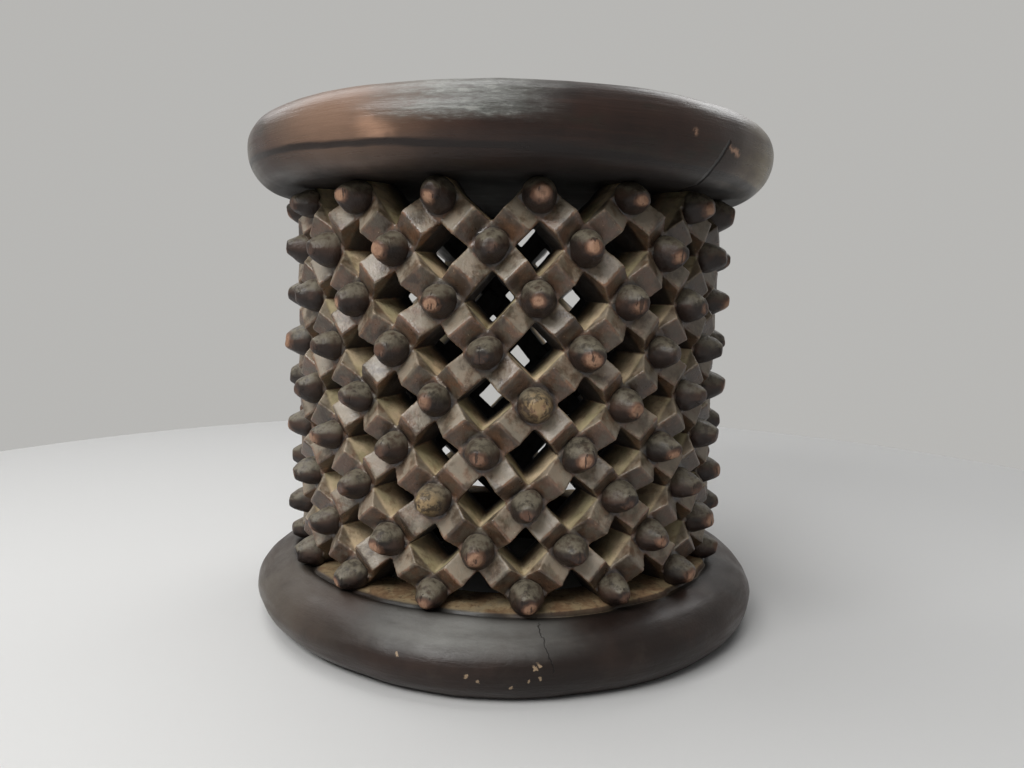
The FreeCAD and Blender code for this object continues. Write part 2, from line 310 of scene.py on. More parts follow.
@dataclass(frozen=True)
class WallFinish(Finish):
    """Dark carved wood with dust in its hollows, stains and paler rubbed edges; with painted shade under the
    struts, round the studs' feet, deep inside and over the right of the wall, and a pale film on upward
    facets that is partly dust and partly painted highlight.
    """

    name: str = "carved wall wood"
    dark: Colour = (0.048, 0.029, 0.017)
    warm: Colour = (0.255, 0.127, 0.067)
    cool: Colour = (0.165, 0.143, 0.101)
    mauve: Colour = (0.240, 0.130, 0.082)
    # Pale film on upward facets: partly dust, partly painted highlight.
    dust_and_sheen: Colour = (0.325, 0.280, 0.220)
    dust: Colour = (0.780, 0.610, 0.390)
    moss: Colour = (0.500, 0.425, 0.240)
    rubbed: Colour = (0.480, 0.350, 0.225)
    # Near black, for painted shade.
    near_black: Colour = (0.006, 0.004, 0.004)
    broad: Grain = (17.0, 2.0, 0.5, 1.0)
    patch: Grain = (62.0, 4.0, 0.6, 5.0)
    blot: Grain = (115.0, 3.0, 0.62, 12.0)
    fine: Grain = (520.0, 3.0, 0.65, 9.0)
    fibre: Grain = (900.0, 2.0, 0.5, 3.0)
    stain: Grain = (48.0, 3.0, 0.6, 17.0)
    growth: Grain = (26.0, 3.0, 0.6, 23.0)
    # Centre and size of a painted shade over the right of the wall.
    shade: Place = (0.150, -0.110, 0.115)
    shade_size: float = 0.140
    relief: float = 0.50 * MM
    gloss: float = 0.68

    def lay_on(self, sheet: NodeSheet) -> None:
        """Make the nodes of the finish on an empty sheet."""
        place, facing, inward = sheet.place(), sheet.facing(), sheet.worn("inward")
        patch, blot, fine = (sheet.noise(place, grain) for grain in (self.patch, self.blot, self.fine))
        fibre = sheet.noise(sheet.stretched(place, (1.0, 1.0, 0.12)), self.fibre)
        paint = Paint(sheet, sheet.blend(sheet.ramp(patch, 0.38, 0.60), self.dark, self.warm))
        paint.coat(sheet.ramp(sheet.noise(place, self.broad), 0.46, 0.62, 0.0, 0.75), self.mauve)
        paint.coat(sheet.ramp(blot, 0.46, 0.62, 0.0, 0.80), self.cool)
        paint.coat(sheet.ramp(fibre, 0.40, 0.65, 0.0, 0.35), self.dark)
        paint.coat(sheet.ramp(sheet.noise(place, self.stain), 0.52, 0.62, 0.0, 0.85), self.dark)
        outer = sheet.ramp(inward, 0.00, 0.10, 1.0, 0.0)
        # Painted shade: outer faces that look downward are darkened.
        paint.coat(sheet.times(sheet.ramp(facing, 0.02, -0.40), outer, 0.50), self.dark)
        # Pale film on upward-facing outer facets, in patches: partly settled dust, partly painted highlight.
        dust_and_sheen_patches = sheet.ramp(patch, 0.42, 0.56, 0.05, 0.75)
        paint.coat(sheet.times(sheet.ramp(facing, 0.12, 0.42), outer, dust_and_sheen_patches), self.dust_and_sheen)
        # Painted shade: the right of the wall darkened in a loose patch.
        loose = sheet.stretched(sheet.shaken(place, 24.0, 0.04, 2.0), (1.0, 1.0, 0.5))
        paint.coat(sheet.times(sheet.spot(loose, self.shade, self.shade_size), 0.60), self.dark)
        paint.coat(sheet.times(sheet.worn("rubbed"), sheet.ramp(blot, 0.40, 0.62, 0.05, 0.65)), self.rubbed)
        earth = sheet.blend(sheet.ramp(sheet.noise(place, self.growth), 0.40, 0.58), self.dust, self.moss)
        earth = sheet.blend(sheet.ramp(blot, 0.52, 0.68, 0.0, 0.50), earth, self.warm)
        settled = sheet.times(
            sheet.ramp(facing, 0.12, 0.60), sheet.ramp(inward, 0.01, 0.09, 0.12, 1.0),
            sheet.ramp(patch, 0.28, 0.56, 0.60, 1.0), sheet.ramp(inward, 0.20, 0.80, 1.0, 0.25),
        )
        paint.coat(settled, earth)
        caught = sheet.times(sheet.worn("hollow"), sheet.ramp(facing, -0.1, 0.5, 0.0, 0.75))
        paint.coat(sheet.times(caught, sheet.ramp(blot, 0.35, 0.6)), self.dust)
        specks = sheet.times(sheet.ramp(fine, 0.64, 0.72, 0.0, 0.5), sheet.ramp(patch, 0.45, 0.6))
        paint.coat(specks, self.dust)
        # Painted shade in the crease round each stud's foot, strongest on faces that look down.
        paint.coat(sheet.times(sheet.worn("collar"), sheet.ramp(facing, -0.3, 0.6, 0.9, 0.3)), self.near_black)
        # Painted shade: downward faces inside the openings, and everything deep inside the wall, go near
        # black.
        deeper = sheet.ramp(inward, 0.03, 0.15, 0.0, 0.92)
        paint.coat(sheet.times(sheet.ramp(facing, -0.02, -0.35), deeper), self.near_black)
        paint.coat(sheet.ramp(inward, 0.60, 0.95), self.near_black)
        rough = sheet.plus(
            sheet.ramp(blot, 0.32, 0.68, 0.27, 0.42), sheet.times(settled, 0.35),
            sheet.ramp(inward, 0.08, 0.40, 0.0, 0.35),
        )
        height = sheet.mixed((fine, 0.7), (fibre, 0.25), (blot, 0.7))
        self.surface(sheet, paint.colour, rough, height, self.relief, self.gloss)


@dataclass(frozen=True)
class StudFinish(Finish):
    """Dark wood, dusty above, rubbed bare to the end grain at the blunt tips, with painted shade on the faces
    that look down.
    """

    name: str = "rubbed stud wood"
    dark: Colour = (0.020, 0.014, 0.011)
    warm: Colour = (0.062, 0.034, 0.023)
    dust: Colour = (0.195, 0.170, 0.122)
    rim: Colour = (0.125, 0.062, 0.038)
    bare: Colour = (0.400, 0.232, 0.145)
    umber: Colour = (0.240, 0.125, 0.076)
    straw: Colour = (0.350, 0.245, 0.125)
    # Near black, for fine cracks in the tips and for painted shade below.
    split_and_shade: Colour = (0.016, 0.009, 0.007)
    broad: Grain = (60.0, 3.0, 0.6, 2.0)
    blot: Grain = (210.0, 4.0, 0.65, 8.0)
    fine: Grain = (620.0, 3.0, 0.6, 4.0)
    fibre: Grain = (900.0, 2.0, 0.6, 6.0)
    check: Grain = (420.0, 1.0, 0.5, 6.0)
    relief: float = 0.6 * MM
    gloss: float = 0.40

    def lay_on(self, sheet: NodeSheet) -> None:
        """Make the nodes of the finish on an empty sheet."""
        place, facing = sheet.place(), sheet.facing()
        broad, blot, fine = (sheet.noise(place, grain) for grain in (self.broad, self.blot, self.fine))
        fibre = sheet.noise(sheet.stretched(place, (1.0, 1.0, 0.10)), self.fibre)
        paint = Paint(sheet, sheet.blend(sheet.ramp(broad, 0.38, 0.62), self.dark, self.warm))
        powder = sheet.times(sheet.ramp(facing, 0.0, 0.70), sheet.ramp(blot, 0.34, 0.60, 0.20, 0.95))
        paint.coat(powder, self.dust)
        # Painted shade: faces that look down are darkened.
        paint.coat(sheet.ramp(facing, 0.15, -0.45, 0.0, 0.85), self.split_and_shade)
        edge = sheet.plus(sheet.worn("bare"), sheet.times(sheet.plus(blot, -0.5), 0.9))
        paint.coat(sheet.ramp(edge, 0.10, 0.45, 0.0, 0.80), self.rim)
        bare = sheet.ramp(edge, 0.45, 0.85, 0.0, 0.92)
        wood = sheet.blend(sheet.ramp(blot, 0.48, 0.66), self.bare, self.umber)
        wood = sheet.blend(sheet.ramp(fibre, 0.40, 0.62, 0.0, 0.35), wood, self.umber)
        paint.coat(bare, wood)
        paint.coat(sheet.times(sheet.worn("straw"), sheet.ramp(blot, 0.42, 0.56, 0.20, 1.0)), self.straw)
        upright = sheet.stretched(sheet.shaken(place, 150.0, 0.003, 1.0), (1.0, 1.0, 0.12))
        checks = sheet.ramp(sheet.noise(upright, self.check), 0.60, 0.66)
        checks = sheet.times(checks, sheet.ramp(sheet.worn("tip"), 0.3, 0.9))
        paint.coat(sheet.times(checks, 0.75), self.split_and_shade)
        rough = sheet.plus(sheet.ramp(blot, 0.3, 0.7, 0.36, 0.52), sheet.times(bare, 0.15))
        height = sheet.mixed((fine, 0.5), (checks, -1.1), (blot, 0.9))
        self.surface(sheet, paint.colour, rough, height, self.relief, self.gloss)


@dataclass(frozen=True)
class SeatFinish(Finish):
    """Nearly black wood, polished by use, with level tool lines, scuffed streaks and a cracked rim; a painted
    sheen along the top front of the rim, painted reflections along its left and right edges, and painted
    shade over its lower part and underside.
    """

    name: str = "polished seat wood"
    dark: Colour = (0.012, 0.007, 0.006)
    brown: Colour = (0.040, 0.019, 0.013)
    olive: Colour = (0.022, 0.019, 0.013)
    # Painted sheen at the top front of the rim.
    painted_sheen: Colour = (0.235, 0.242, 0.224)
    warm: Colour = (0.300, 0.182, 0.122)
    tan: Colour = (0.520, 0.305, 0.200)
    # Pale streaks: worn marks all over, and painted highlight inside the painted sheen.
    scuff_and_sheen: Colour = (0.330, 0.325, 0.295)
    khaki: Colour = (0.240, 0.185, 0.105)
    # Painted reflection along the rim's left and right edges.
    rim_sheen: Colour = (0.155, 0.138, 0.112)
    ring: Colour = (0.100, 0.062, 0.042)
    # Near black, for the crack and for painted shade on the underside.
    near_black: Colour = (0.005, 0.004, 0.004)
    broad: Grain = (8.0, 4.0, 0.6, 1.0)
    cloud: Grain = (22.0, 4.0, 0.6, 14.0)
    lines: Grain = (14.0, 5.0, 0.62, 3.0)
    streaks: Grain = (70.0, 5.0, 0.75, 11.0)
    fine: Grain = (320.0, 4.0, 0.65, 7.0)
    chips: Grain = (190.0, 3.0, 0.7, 19.0)
    left_wear: Place = (-0.135, -0.172, 0.620)
    right_wear: Place = (0.185, -0.115, 0.600)
    # Centres of the painted reflections on the rim's left and right edges.
    sides: tuple[Place, ...] = ((-0.216, -0.050, 0.378), (0.214, -0.060, 0.378))
    patch: Place = (-0.1074, -0.1938, 0.83336)
    # Centre of the painted sheen.
    bright: Place = (-0.0560, -0.2100, 0.3990)
    crack: tuple[Place, Place] = ((0.1319, 0.0, 0.3827), (0.1150, 0.0, 0.3556))
    chipped: tuple[Place, Place] = ((0.1345, 0.0, 0.3790), (0.1420, 0.0, 0.3770))
    nicks: tuple[tuple[Place, float], ...] = (
        ((0.1007, -0.1977, 0.3842), 4.2 * MM), ((0.0038, -0.2194, 0.3742), 1.7 * MM),
    )
    relief: float = 0.6 * MM
    gloss: float = 0.32

    def lay_on(self, sheet: NodeSheet) -> None:
        """Make the nodes of the finish on an empty sheet."""
        place = sheet.place()
        level, front = sheet.part(place, 2), self.front(sheet, place)
        cloud = sheet.noise(sheet.stretched(place, (1.0, 1.0, 2.5)), self.cloud)
        lines = sheet.noise(sheet.stretched(place, (1.0, 1.0, 16.0)), self.lines)
        streaks = sheet.noise(sheet.stretched(place, (1.0, 1.0, 5.0)), self.streaks)
        fine, chips = sheet.noise(place, self.fine), sheet.noise(place, self.chips)
        first = sheet.blend(sheet.ramp(sheet.noise(place, self.broad), 0.36, 0.62), self.dark, self.brown)
        paint = Paint(sheet, first)
        paint.coat(sheet.ramp(cloud, 0.46, 0.64, 0.0, 0.7), self.olive)
        paint.coat(sheet.ramp(lines, 0.50, 0.72, 0.0, 0.65), self.brown)
        worn = sheet.shaken(place, 30.0, 0.030, 5.0)
        tall = sheet.stretched(worn, (1.0, 1.0, 1.6))
        paint.coat(sheet.times(sheet.spot(tall, self.left_wear, 0.105), 0.75), self.warm)
        right = sheet.spot(tall, self.right_wear, 0.085)
        paint.coat(sheet.times(right, sheet.ramp(cloud, 0.35, 0.6, 0.3, 0.9)), self.khaki)
        # Painted reflection: pale grey bands along the rim's left and right edges.
        for side in self.sides:
            rim_sheen = sheet.ramp(cloud, 0.3, 0.6, 0.35, 0.75)
            paint.coat(sheet.times(sheet.spot(worn, side, 0.050), rim_sheen), self.rim_sheen)
        patch = sheet.spot(sheet.stretched(worn, (1.0, 1.0, 2.2)), self.patch, 0.024)
        paint.coat(sheet.times(patch, sheet.ramp(lines, 0.30, 0.60, 0.45, 0.85)), self.tan)
        # Painted highlight: a pale grey sheen over the top front of the rim, above a streaky level.
        upper = sheet.ramp(sheet.math("MULTIPLY_ADD", streaks, 0.006, level), 0.3835, 0.3930)
        bright = sheet.times(sheet.spot(place, self.bright, 0.078), upper)
        paint.coat(sheet.times(bright, sheet.ramp(streaks, 0.34, 0.62, 0.35, 0.95)), self.painted_sheen)
        # Pale streaks: worn marks all over, brighter inside the painted sheen, where they are partly painted
        # highlight.
        sheen_scuffs = sheet.times(sheet.ramp(streaks, 0.52, 0.66, 0.0, 0.8), bright)
        marks = sheet.plus(sheet.ramp(streaks, 0.68, 0.80, 0.0, 0.20), sheen_scuffs)
        paint.coat(marks, self.scuff_and_sheen)
        # Painted shade: the rim darker below a wavy level, with a dark line along that level.
        step = sheet.math("MULTIPLY_ADD", lines, 0.006, level)
        step = sheet.math("MULTIPLY_ADD", sheet.part(place, 0), 0.040, step)
        line = sheet.times(sheet.ramp(step, 0.3660, 0.3690), sheet.ramp(step, 0.3710, 0.3735, 1.0, 0.0), 0.95)
        low = sheet.ramp(step, 0.3680, 0.3710, 0.35, 0.0)
        paint.coat(sheet.math("MAXIMUM", low, line), self.dark)
        flat = sheet.stretched(sheet.shaken(place, 130.0, 0.004, 2.0), (1.0, 0.0, 1.0))
        crack = sheet.times(sheet.seam(flat, *self.crack, 2.0 * MM), front)
        chipped = sheet.times(sheet.seam(flat, *self.chipped, 3.4 * MM), front)
        paint.coat(sheet.times(chipped, sheet.ramp(chips, 0.40, 0.56)), self.tan)
        nicks = sheet.plus(*[sheet.spot(place, centre, size) for centre, size in self.nicks])
        paint.coat(sheet.times(nicks, sheet.ramp(chips, 0.42, 0.58)), self.tan)
        paint.coat(crack, self.near_black)
        rings, face = self.log_end(sheet, place)
        above = sheet.times(face, sheet.ramp(level, 0.395, 0.400), rings)
        paint.coat(sheet.times(above, 0.22), self.ring)
        # Painted shade: the rim's underside and lowest part go near black.
        under = sheet.ramp(sheet.math("MULTIPLY_ADD", cloud, 0.010, level), 0.3585, 0.3680, 0.95, 0.0)
        paint.coat(under, self.near_black)
        rough = sheet.plus(sheet.ramp(lines, 0.3, 0.7, 0.26, 0.36), sheet.mixed((marks, 0.35), (under, 0.35)))
        height = sheet.mixed((lines, 1.0), (fine, 0.25), (above, -0.05), (crack, -2.0))
        self.surface(sheet, paint.colour, rough, height, self.relief, self.gloss)


@dataclass(frozen=True)
class BaseFinish(Finish):
    """Worn dark grey-brown wood with a waxy shoulder that carries a painted sheen, nicks and a dusty ledge,
    with painted shade under the ledge's lip and towards the floor.
    """

    name: str = "worn base wood"
    dark: Colour = (0.015, 0.009, 0.007)
    brown: Colour = (0.040, 0.023, 0.017)
    grey: Colour = (0.110, 0.092, 0.074)
    # Pale grey of the waxy shoulder: partly its real finish, partly painted sheen.
    wax_and_sheen: Colour = (0.240, 0.236, 0.218)
    dust: Colour = (0.400, 0.300, 0.165)
    umber: Colour = (0.215, 0.130, 0.068)
    nick: Colour = (0.420, 0.300, 0.190)
    ring: Colour = (0.110, 0.070, 0.048)
    # Near black, for the crack and for painted shade in the groove.
    near_black: Colour = (0.006, 0.005, 0.004)
    broad: Grain = (11.0, 4.0, 0.6, 1.0)
    cloud: Grain = (38.0, 4.0, 0.62, 14.0)
    lines: Grain = (20.0, 5.0, 0.62, 3.0)
    fine: Grain = (360.0, 4.0, 0.65, 7.0)
    chips: Grain = (210.0, 4.0, 0.75, 11.0)
    left_wear: Place = (-0.200, -0.080, 0.030)
    wax_and_sheen_centre: Place = (-0.0250, -0.1220, 0.0430)
    crack: tuple[Place, ...] = ((0.0040, 0.0, 0.0480), (0.0064, 0.0, 0.0380), (0.0110, 0.0, 0.0270))
    crack_widths: tuple[float, ...] = (0.8 * MM, 0.6 * MM)
    nicks: tuple[tuple[float, float], ...] = (
        (-0.0058, 0.0210), (-0.0019, 0.0291), (-0.0480, 0.0240), (-0.0172, 0.0153),
        (-0.0946, 0.0327), (0.0016, 0.0220), (0.0010, 0.0310), (-0.0400, 0.0205),
    )
    nick_size: float = 2.2 * MM
    relief: float = 0.7 * MM
    gloss: float = 0.30

    def lay_on(self, sheet: NodeSheet) -> None:
        """Make the nodes of the finish on an empty sheet."""
        place = sheet.place()
        level, front = sheet.part(place, 2), self.front(sheet, place)
        grains = (self.broad, self.cloud, self.fine, self.chips)
        broad, cloud, fine, chips = (sheet.noise(place, grain) for grain in grains)
        lines = sheet.noise(sheet.stretched(place, (1.0, 1.0, 7.0)), self.lines)
        worn = sheet.shaken(place, 26.0, 0.040, 5.0)
        paint = Paint(sheet, sheet.blend(sheet.ramp(broad, 0.36, 0.62), self.dark, self.brown))
        paint.coat(sheet.ramp(cloud, 0.52, 0.74, 0.0, 0.16), self.grey)
        left = sheet.spot(worn, self.left_wear, 0.150)
        paint.coat(sheet.times(left, sheet.ramp(cloud, 0.2, 0.6, 0.35, 0.85)), self.grey)
        # Waxy shoulder at the front left: partly the wood's finish, partly painted highlight.
        wax_and_sheen = sheet.spot(sheet.stretched(worn, (0.45, 0.6, 1.0)), self.wax_and_sheen_centre, 0.052)
        upper = sheet.ramp(sheet.math("MULTIPLY_ADD", cloud, 0.008, level), 0.0345, 0.0470)
        paint.coat(sheet.times(wax_and_sheen, upper, sheet.ramp(lines, 0.35, 0.6, 0.70, 1.0)), self.wax_and_sheen)
        # Painted shade: darker towards the floor.
        foot = sheet.math("MULTIPLY_ADD", lines, 0.010, level)
        paint.coat(sheet.ramp(foot, 0.010, 0.030, 0.65, 0.0), self.dark)
        marks = sheet.ramp(chips, 0.71, 0.75, 0.0, 0.5)
        flat = sheet.stretched(sheet.shaken(place, 260.0, 0.007, 3.0), (1.0, 0.0, 1.0))
        for side, above in self.nicks:
            near = sheet.times(sheet.spot(flat, (side, 0.0, above), self.nick_size), front)
            marks = sheet.math("MAXIMUM", marks, sheet.ramp(near, 0.15, 0.60, 0.0, 0.8))
        paint.coat(marks, self.nick)
        bent = sheet.stretched(sheet.shaken(place, 110.0, 0.009, 2.0), (1.0, 0.0, 1.0))
        pieces = zip(self.crack, self.crack[1:], self.crack_widths)
        crack = sheet.math("MAXIMUM", *[sheet.seam(bent, start, end, width) for start, end, width in pieces])
        crack = sheet.times(crack, front)
        paint.coat(sheet.times(crack, sheet.ramp(chips, 0.36, 0.56, 0.15, 0.75)), self.near_black)
        # Painted shade: the groove under the ledge's lip goes near black.
        paint.coat(sheet.times(sheet.worn("groove"), 0.85), self.near_black)
        earth = sheet.blend(sheet.ramp(cloud, 0.40, 0.56), self.dust, self.umber)
        earth = sheet.blend(sheet.ramp(chips, 0.50, 0.66, 0.0, 0.60), earth, self.brown)
        earth = sheet.blend(sheet.ramp(sheet.facing(), 0.55, 0.92, 0.82, 0.0), earth, self.brown)
        ledge = sheet.worn("ledge")
        shelf = sheet.times(ledge, sheet.ramp(cloud, 0.30, 0.52, 0.55, 1.0))
        paint.coat(shelf, earth)
        rings, face = self.log_end(sheet, place)
        below = sheet.times(face, sheet.ramp(level, 0.002, 0.004, 1.0, 0.0), 0.6)
        paint.coat(sheet.times(rings, below), self.ring)
        rough = sheet.plus(sheet.ramp(lines, 0.3, 0.7, 0.30, 0.50), sheet.times(shelf, 0.40))
        height = sheet.mixed((lines, 1.0), (fine, 0.3), (sheet.times(ledge, cloud), 2.0), (crack, -0.9))
        self.surface(sheet, paint.colour, rough, height, self.relief, self.gloss)


@dataclass(frozen=True)
class FloorFinish(Finish):
    """Plain pale surface for the floor."""

    name: str = "pale floor"
    pale: Colour = (0.75, 0.745, 0.73)
    weave: Grain = (900.0, 2.0, 0.5, 1.0)

    def lay_on(self, sheet: NodeSheet) -> None:
        """Make the nodes of the finish on an empty sheet."""
        self.surface(sheet, self.pale, 0.9, sheet.noise(sheet.place(), self.weave), 0.1 * MM, 0.2)


def read_array(items: bpy.types.bpy_prop_collection, name: str, width: int = 1,
               kind: type = np.float32) -> np.ndarray:
    """Read one property of all items of a collection.

    Args:
        items: The collection, such as a mesh's points.
        name: The property.
        width: How many numbers each item has.
        kind: The type of number.

    Returns:
        One number for each item, or one row where the width is more than one.
    """
    values = np.empty(len(items) * width, dtype=kind)
    items.foreach_get(name, values)
    return values if width == 1 else values.reshape(-1, width)


def read_points(mesh: bpy.types.Mesh, name: str = "co") -> np.ndarray:
    """Places of all points of a mesh, or their normals, one row each."""
    return read_array(mesh.vertices, name, 3).astype(np.float64)


def write_points(mesh: bpy.types.Mesh, points: np.ndarray) -> None:
    """Put the points of a mesh at new places."""
    mesh.vertices.foreach_set("co", np.ascontiguousarray(points, dtype=np.float32).ravel())
    mesh.update()


def point_values(mesh: bpy.types.Mesh, name: str, values: np.ndarray) -> None:
    """Store a number, or a vector where a row holds three, at each point of a mesh.

    Args:
        mesh: The mesh.
        name: Name that the numbers are read by.
        values: One number or one row for each point.
    """
    kind, field = ("FLOAT", "value") if values.ndim == 1 else ("FLOAT_VECTOR", "vector")
    layer = mesh.attributes.get(name) or mesh.attributes.new(name, kind, "POINT")
    layer.data.foreach_set(field, np.ascontiguousarray(values, dtype=np.float32).ravel())


def polar(points: np.ndarray) -> tuple[np.ndarray, np.ndarray]:
    """Reach from the axis, and turn from the front, of each point."""
    return np.hypot(points[:, 0], points[:, 1]), np.arctan2(points[:, 0], -points[:, 1])


def rise(values: np.ndarray, start: float | np.ndarray, width: float) -> np.ndarray:
    """A straight slope from 0, at the start, to 1, a width further on."""
    return np.clip((values - start) / width, 0.0, 1.0)


def hump(values: np.ndarray, middle: float, width: float) -> np.ndarray:
    """A bell curve that is 1 in its middle."""
    return np.exp(-(((values - middle) / width) ** 2))


def waves(turn: np.ndarray, level: np.ndarray, terms: tuple[Wave, ...]) -> np.ndarray:
    """The sum of some sine waves round the drum.

    Args:
        turn: Turn of each point from the front.
        level: What a wave slants with.
        terms: The waves.

    Returns:
        One number for each point.
    """
    return sum(high * np.sin(count * turn + slant * level + start) for high, count, slant, start in terms)


def add_piece(name: str, mesh: bpy.types.Mesh) -> bpy.types.Object:
    """An object at the origin that holds a mesh."""
    piece = bpy.data.objects.new(name, mesh)
    bpy.context.scene.collection.objects.link(piece)
    return piece


def to_mesh(shape: bmesh.types.BMesh, name: str) -> bpy.types.Mesh:
    """Turn a finished shape into a mesh, and let the shape go."""
    mesh = bpy.data.meshes.new(name)
    shape.to_mesh(mesh)
    shape.free()
    return mesh


def join_rings(shape: bmesh.types.BMesh, lower: list[bmesh.types.BMVert],
               upper: list[bmesh.types.BMVert]) -> None:
    """Lay a belt of faces between two rings of points, where a ring may be one point all round.

    Args:
        shape: The shape that holds the points and gets the faces.
        lower: Points of one ring.
        upper: As many points of the other.
    """
    count = len(lower)
    for step in range(count):
        after = (step + 1) % count
        corners = [lower[step], lower[after], upper[after], upper[step]]
        shape.faces.new([vert for at, vert in enumerate(corners) if vert not in corners[:at]])


def plain_mesh(piece: bpy.types.Object, name: str) -> bpy.types.Mesh:
    """What an object shows with all its modifiers, as a mesh of its own.

    Args:
        piece: The object.
        name: Name of the new mesh.

    Returns:
        The mesh.
    """
    graph = bpy.context.evaluated_depsgraph_get()
    graph.update()
    mesh = bpy.data.meshes.new_from_object(piece.evaluated_get(graph), depsgraph=graph)
    mesh.name = name
    return mesh


def bake_modifiers(piece: bpy.types.Object) -> None:
    """Make the result of an object's modifiers its own mesh, and take the modifiers off."""
    mesh = plain_mesh(piece, piece.name)
    piece.modifiers.clear()
    old = piece.data
    piece.data = mesh
    bpy.data.meshes.remove(old)


def run_tree(piece: bpy.types.Object, tree: bpy.types.NodeTree, sizes: dict[str, object]) -> None:
    """Put a node tree on an object, with its inputs set.

    Args:
        piece: The object.
        tree: The tree.
        sizes: Value of each input, by the input's name.
    """
    step = piece.modifiers.new(tree.name, "NODES")
    step.node_group = tree
    for item in tree.interface.items_tree:
        if item.item_type == "SOCKET" and item.in_out == "INPUT" and item.name in sizes:
            step[item.identifier] = sizes[item.name]


def hand_over(piece: bpy.types.Object, slot: Slot, *nodes: str) -> None:
    """Tie a finished piece to the frame.

    Args:
        piece: The finished piece.
        slot: Material slot of the record. Not used.
        *nodes: Solids that the piece stands for.
    """
    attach(piece, "root")
    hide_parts(*nodes)
    log.info("%s: %d faces, for %s", piece.name, len(piece.data.polygons), ", ".join(nodes))


@dataclass(frozen=True)
class Lattice:
    """The even pattern of rows and columns that the wall and its studs share."""

    rows: int = 9
    columns: int = 16
    first_row: float = 59.4 * MM
    row_pitch: float = 35.4 * MM
    radius: float = 175.0 * MM
    foot: float = 53.0 * MM
    head: float = 355.6 * MM

    @property
    def half_turn(self) -> float:
        """Half the angle between two columns."""
        return math.pi / self.columns

    def level(self, number: int) -> float:
        """Level of a row, counted from the floor."""
        return self.first_row + self.row_pitch * (number - 1)


@dataclass(frozen=True)
class Wander:
    """How far the carver's hand strayed from the even lattice.

    Drift runs round the wall and lift runs up it, in millimetres at each row, and both run on smoothly
    from row to row, so that what meets still meets.
    """

    lattice: Lattice
    drift: tuple[float, ...] = (-3.5, -4.5, -2.4, -0.2, 0.8, 0.7, 1.2, 1.9, 0.6)
    lift: tuple[float, ...] = (2.0, 0.6, 0.0, -0.8, -1.0, -0.5, -0.2, 0.9, 0.8)
    sway: float = 1.3 * MM
    slant: float = 61.0 * MM
    round_waves: tuple[Wave, ...] = ((1.0, 5.0, 1.7, 0.6), (0.8, 9.0, -2.3, 2.1))
    up_waves: tuple[Wave, ...] = ((1.0, 4.0, -1.3, 1.1), (0.8, 11.0, 1.9, 0.0))
    in_waves: tuple[Wave, ...] = ((0.8 * MM, 6.0, 1.1, 0.4),)
    fade: float = 30.0 * MM

    def shift(self, points: np.ndarray) -> np.ndarray:
        """Move points as the carver's hand strayed.

        Args:
            points: Places, one row each.

        Returns:
            The new places.
        """
        (reach, turn), level, even = polar(points), points[:, 2], self.lattice
        rows = even.first_row + even.row_pitch * np.arange(even.rows)
        slanted = level / self.slant
        round_it = np.interp(level, rows, self.drift) * MM
        round_it = round_it + self.sway * waves(turn, slanted, self.round_waves)
        ends = rise(np.minimum(level - even.foot, even.head - level), 0.0, self.fade)
        up_it = np.interp(level, rows, self.lift) * MM
        up_it = up_it + ends * self.sway * waves(turn, slanted, self.up_waves)
        reach = reach + ends * waves(turn, slanted, self.in_waves)
        turn = turn + round_it / even.radius
        return np.stack([reach * np.sin(turn), -reach * np.cos(turn), level + up_it], axis=1)

    def unshift(self, points: np.ndarray) -> np.ndarray:
        """Where points were before the carver's hand strayed, near enough for marks on the skin."""
        return 2.0 * points - self.shift(points)


class Tree:
    """A Geometry Nodes tree with named inputs, which ends in Realize Instances and Set Material."""

    def __init__(self, name: str, kinds: dict[str, str]) -> None:
        """Start a tree.

        Args:
            name: Name of the tree.
            kinds: Type of each input, by the input's name.
        """
        self.tree = bpy.data.node_groups.new(name, "GeometryNodeTree")
        self.tree.interface.new_socket("Geometry", in_out="OUTPUT", socket_type="NodeSocketGeometry")
        for label, kind in kinds.items():
            self.tree.interface.new_socket(label, in_out="INPUT", socket_type="NodeSocket" + kind)
        self.sheet = NodeSheet(self.tree)
        self.given = self.sheet.add("NodeGroupInput").outputs

    def close(self, shape: object) -> bpy.types.NodeTree:
        """Realize and dress the shape, and give it out.

        Args:
            shape: The socket that holds the shape.

        Returns:
            The finished tree.
        """
        real = self.sheet.add("GeometryNodeRealizeInstances", {0: shape}).outputs[0]
        inputs = {"Geometry": real, "Material": self.given["Finish"]}
        self.sheet.add("NodeGroupOutput", {0: self.sheet.add("GeometryNodeSetMaterial", inputs).outputs[0]})
        return self.tree


